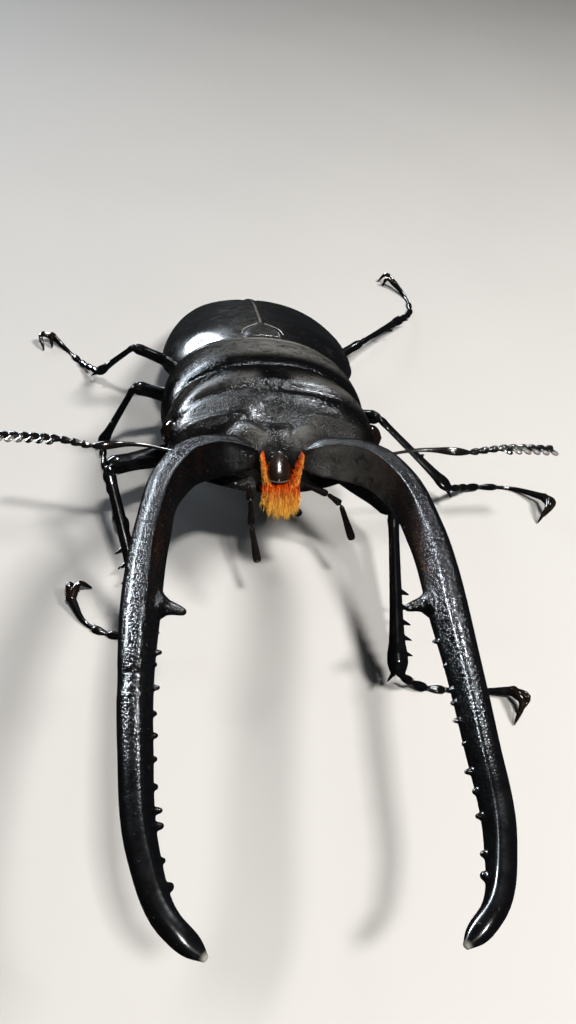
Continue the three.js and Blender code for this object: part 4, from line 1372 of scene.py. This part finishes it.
# %% Foot bristles
BRISTLES = 12
BRISTLE_RADIUS = 0.035
random.seed(5)
locks = []
for leg in legs:
    for end in FOOT_SHARES[1:]:
        for _ in range(BRISTLES):
            share = end - random.uniform(0.005, 0.06)
            turn = random.uniform(0, 2 * math.pi)
            ahead = leg.foot.ahead(share)
            aside = ahead.cross(UP).normalized()
            out = aside * math.cos(turn) + aside.cross(ahead) * math.sin(turn)
            root = leg.foot.at(share) + out * TOE_RADIUS * 0.8
            tip = root + out * random.uniform(0.15, 0.3) + ahead * random.uniform(0.3, 0.55)
            tip.z = max(tip.z, 0.03)
            root.z = max(root.z, 0.05)
            bristle = lock(root, tip, Vector((0, 0, 0.02)), wave=0.02, steps=4)
            locks.append((bristle, (0.05 + 0.9 * share, 0.05 + 0.14 * turn)))
bristles = tufts("foot_bristles", locks, BRISTLE_RADIUS)
done(bristles, FLOOR, foot_hair, "leg")

# %% [markdown]
# ## Stage
#
# The beetle stands on a plain pale floor. A glossy black animal shows its form only by what it reflects,
# so most lamps are there only to be mirrored and light nothing matte: a cool sky, a smaller cool lamp
# high up and a long narrow window, all behind the beetle, draw the highlights of jaws, head and wing
# cases, and a tiny lamp low in front adds sparks. Two warm lamps in front light the floor, the hair and
# the dust: a small one, which is mirrored as well, and a larger one, which is not. The floor is kept out
# of the reflections, because its pale image would turn the black shell grey.

# %% Floor and lamps
WARM = (1, 0.98, 0.95)

bpy.ops.mesh.primitive_plane_add(size=3)
floor = bpy.context.object
floor.name = "floor"
paper, tree, card = new_finish("paper")
card.inputs["Roughness"].default_value = 0.85
fibres = noise(tree, 40, detail=5.0)
tree.links.new(mixed(tree, fibres, (0.52, 0.506, 0.488), (0.58, 0.566, 0.546)), card.inputs["Base Color"])
floor.data.materials.append(paper)
floor.visible_glossy = False


def lamp(name, place, size, power, tint, gleam=True, fill=True):
    """A lamp aimed at the beetle. gleam lets the shell mirror it, fill lets it light what is matte."""
    bpy.ops.object.light_add(type="AREA", location=place)
    light = bpy.context.object
    light.name = name
    light.data.shape = "RECTANGLE"
    light.data.size, light.data.size_y = size
    light.data.energy = power
    light.data.color = tint
    light.rotation_euler = (Vector(middle) - Vector(place)).to_track_quat("-Z", "Y").to_euler()
    light.visible_glossy, light.visible_diffuse = gleam, fill
    print(f"lamp {name}: {power} W")


middle = (cad_low[0] + cad_high[0]) / 2, (cad_low[1] + cad_high[1]) / 2, 0.01
lamp("sky", (-0.26, 0.24, 0.19), (0.11, 0.06), 2.6, (0.84, 0.92, 1), fill=False)
lamp("top", (0.1, 0.21, 0.34), (0.045, 0.035), 1.3, (0.9, 0.95, 1), fill=False)
lamp("window", (-0.17, 0.35, 0.165), (0.17, 0.025), 1.1, (0.78, 0.89, 1), fill=False)
lamp("flash", (0.03, -0.145, 0.32), (0.03, 0.02), 0.8, WARM)
lamp("low", (0.03, -0.38, 0.05), (0.008, 0.008), 0.2, WARM, fill=False)
lamp("room", (0.215, -0.095, 0.36), (0.09, 0.09), 1.9, WARM, gleam=False)

# %% [markdown]
# A very dim bluish world keeps the shadows from going quite black. The view is Standard, which shows
# colours as they are mixed, so that black stays black. The camera looks down on the beetle from its front
# and stands close, so the jaws come out large.

# %% World and camera
world = bpy.data.worlds.new("room")
bpy.context.scene.world = world
world.use_nodes = True
dial(world.node_tree.nodes["Background"], {"Color": (0.6, 0.64, 0.7, 1), "Strength": 0.025})
bpy.context.scene.view_settings.view_transform = "Standard"

CAMERA_PLACE = Vector((-9.84, -61.63, 76.81))
CAMERA_TURNS = (("Z", -10.5), ("X", 44.5), ("Z", 8.2))
bpy.ops.object.camera_add()
camera = bpy.context.object
look = Matrix()
for axis, degrees in CAMERA_TURNS:
    look = look @ Matrix.Rotation(math.radians(degrees), 4, axis)
camera.matrix_world = Matrix.Translation(FLOOR @ CAMERA_PLACE) @ look
camera.data.lens = 27.45
camera.data.sensor_width = 36
camera.data.clip_start = 0.005
bpy.context.scene.camera = camera
print("the camera is", round((camera.location - between_eyes).length / MM), "mm from the eyes")

# %% [markdown]
# Last, the box of the bare solids and the number of pieces made are printed.

# %% Sizes
print("CAD box", [round(1000 * (b - a), 2) for a, b in zip(cad_low, cad_high)], "mm")
print(len(made), "pieces made")
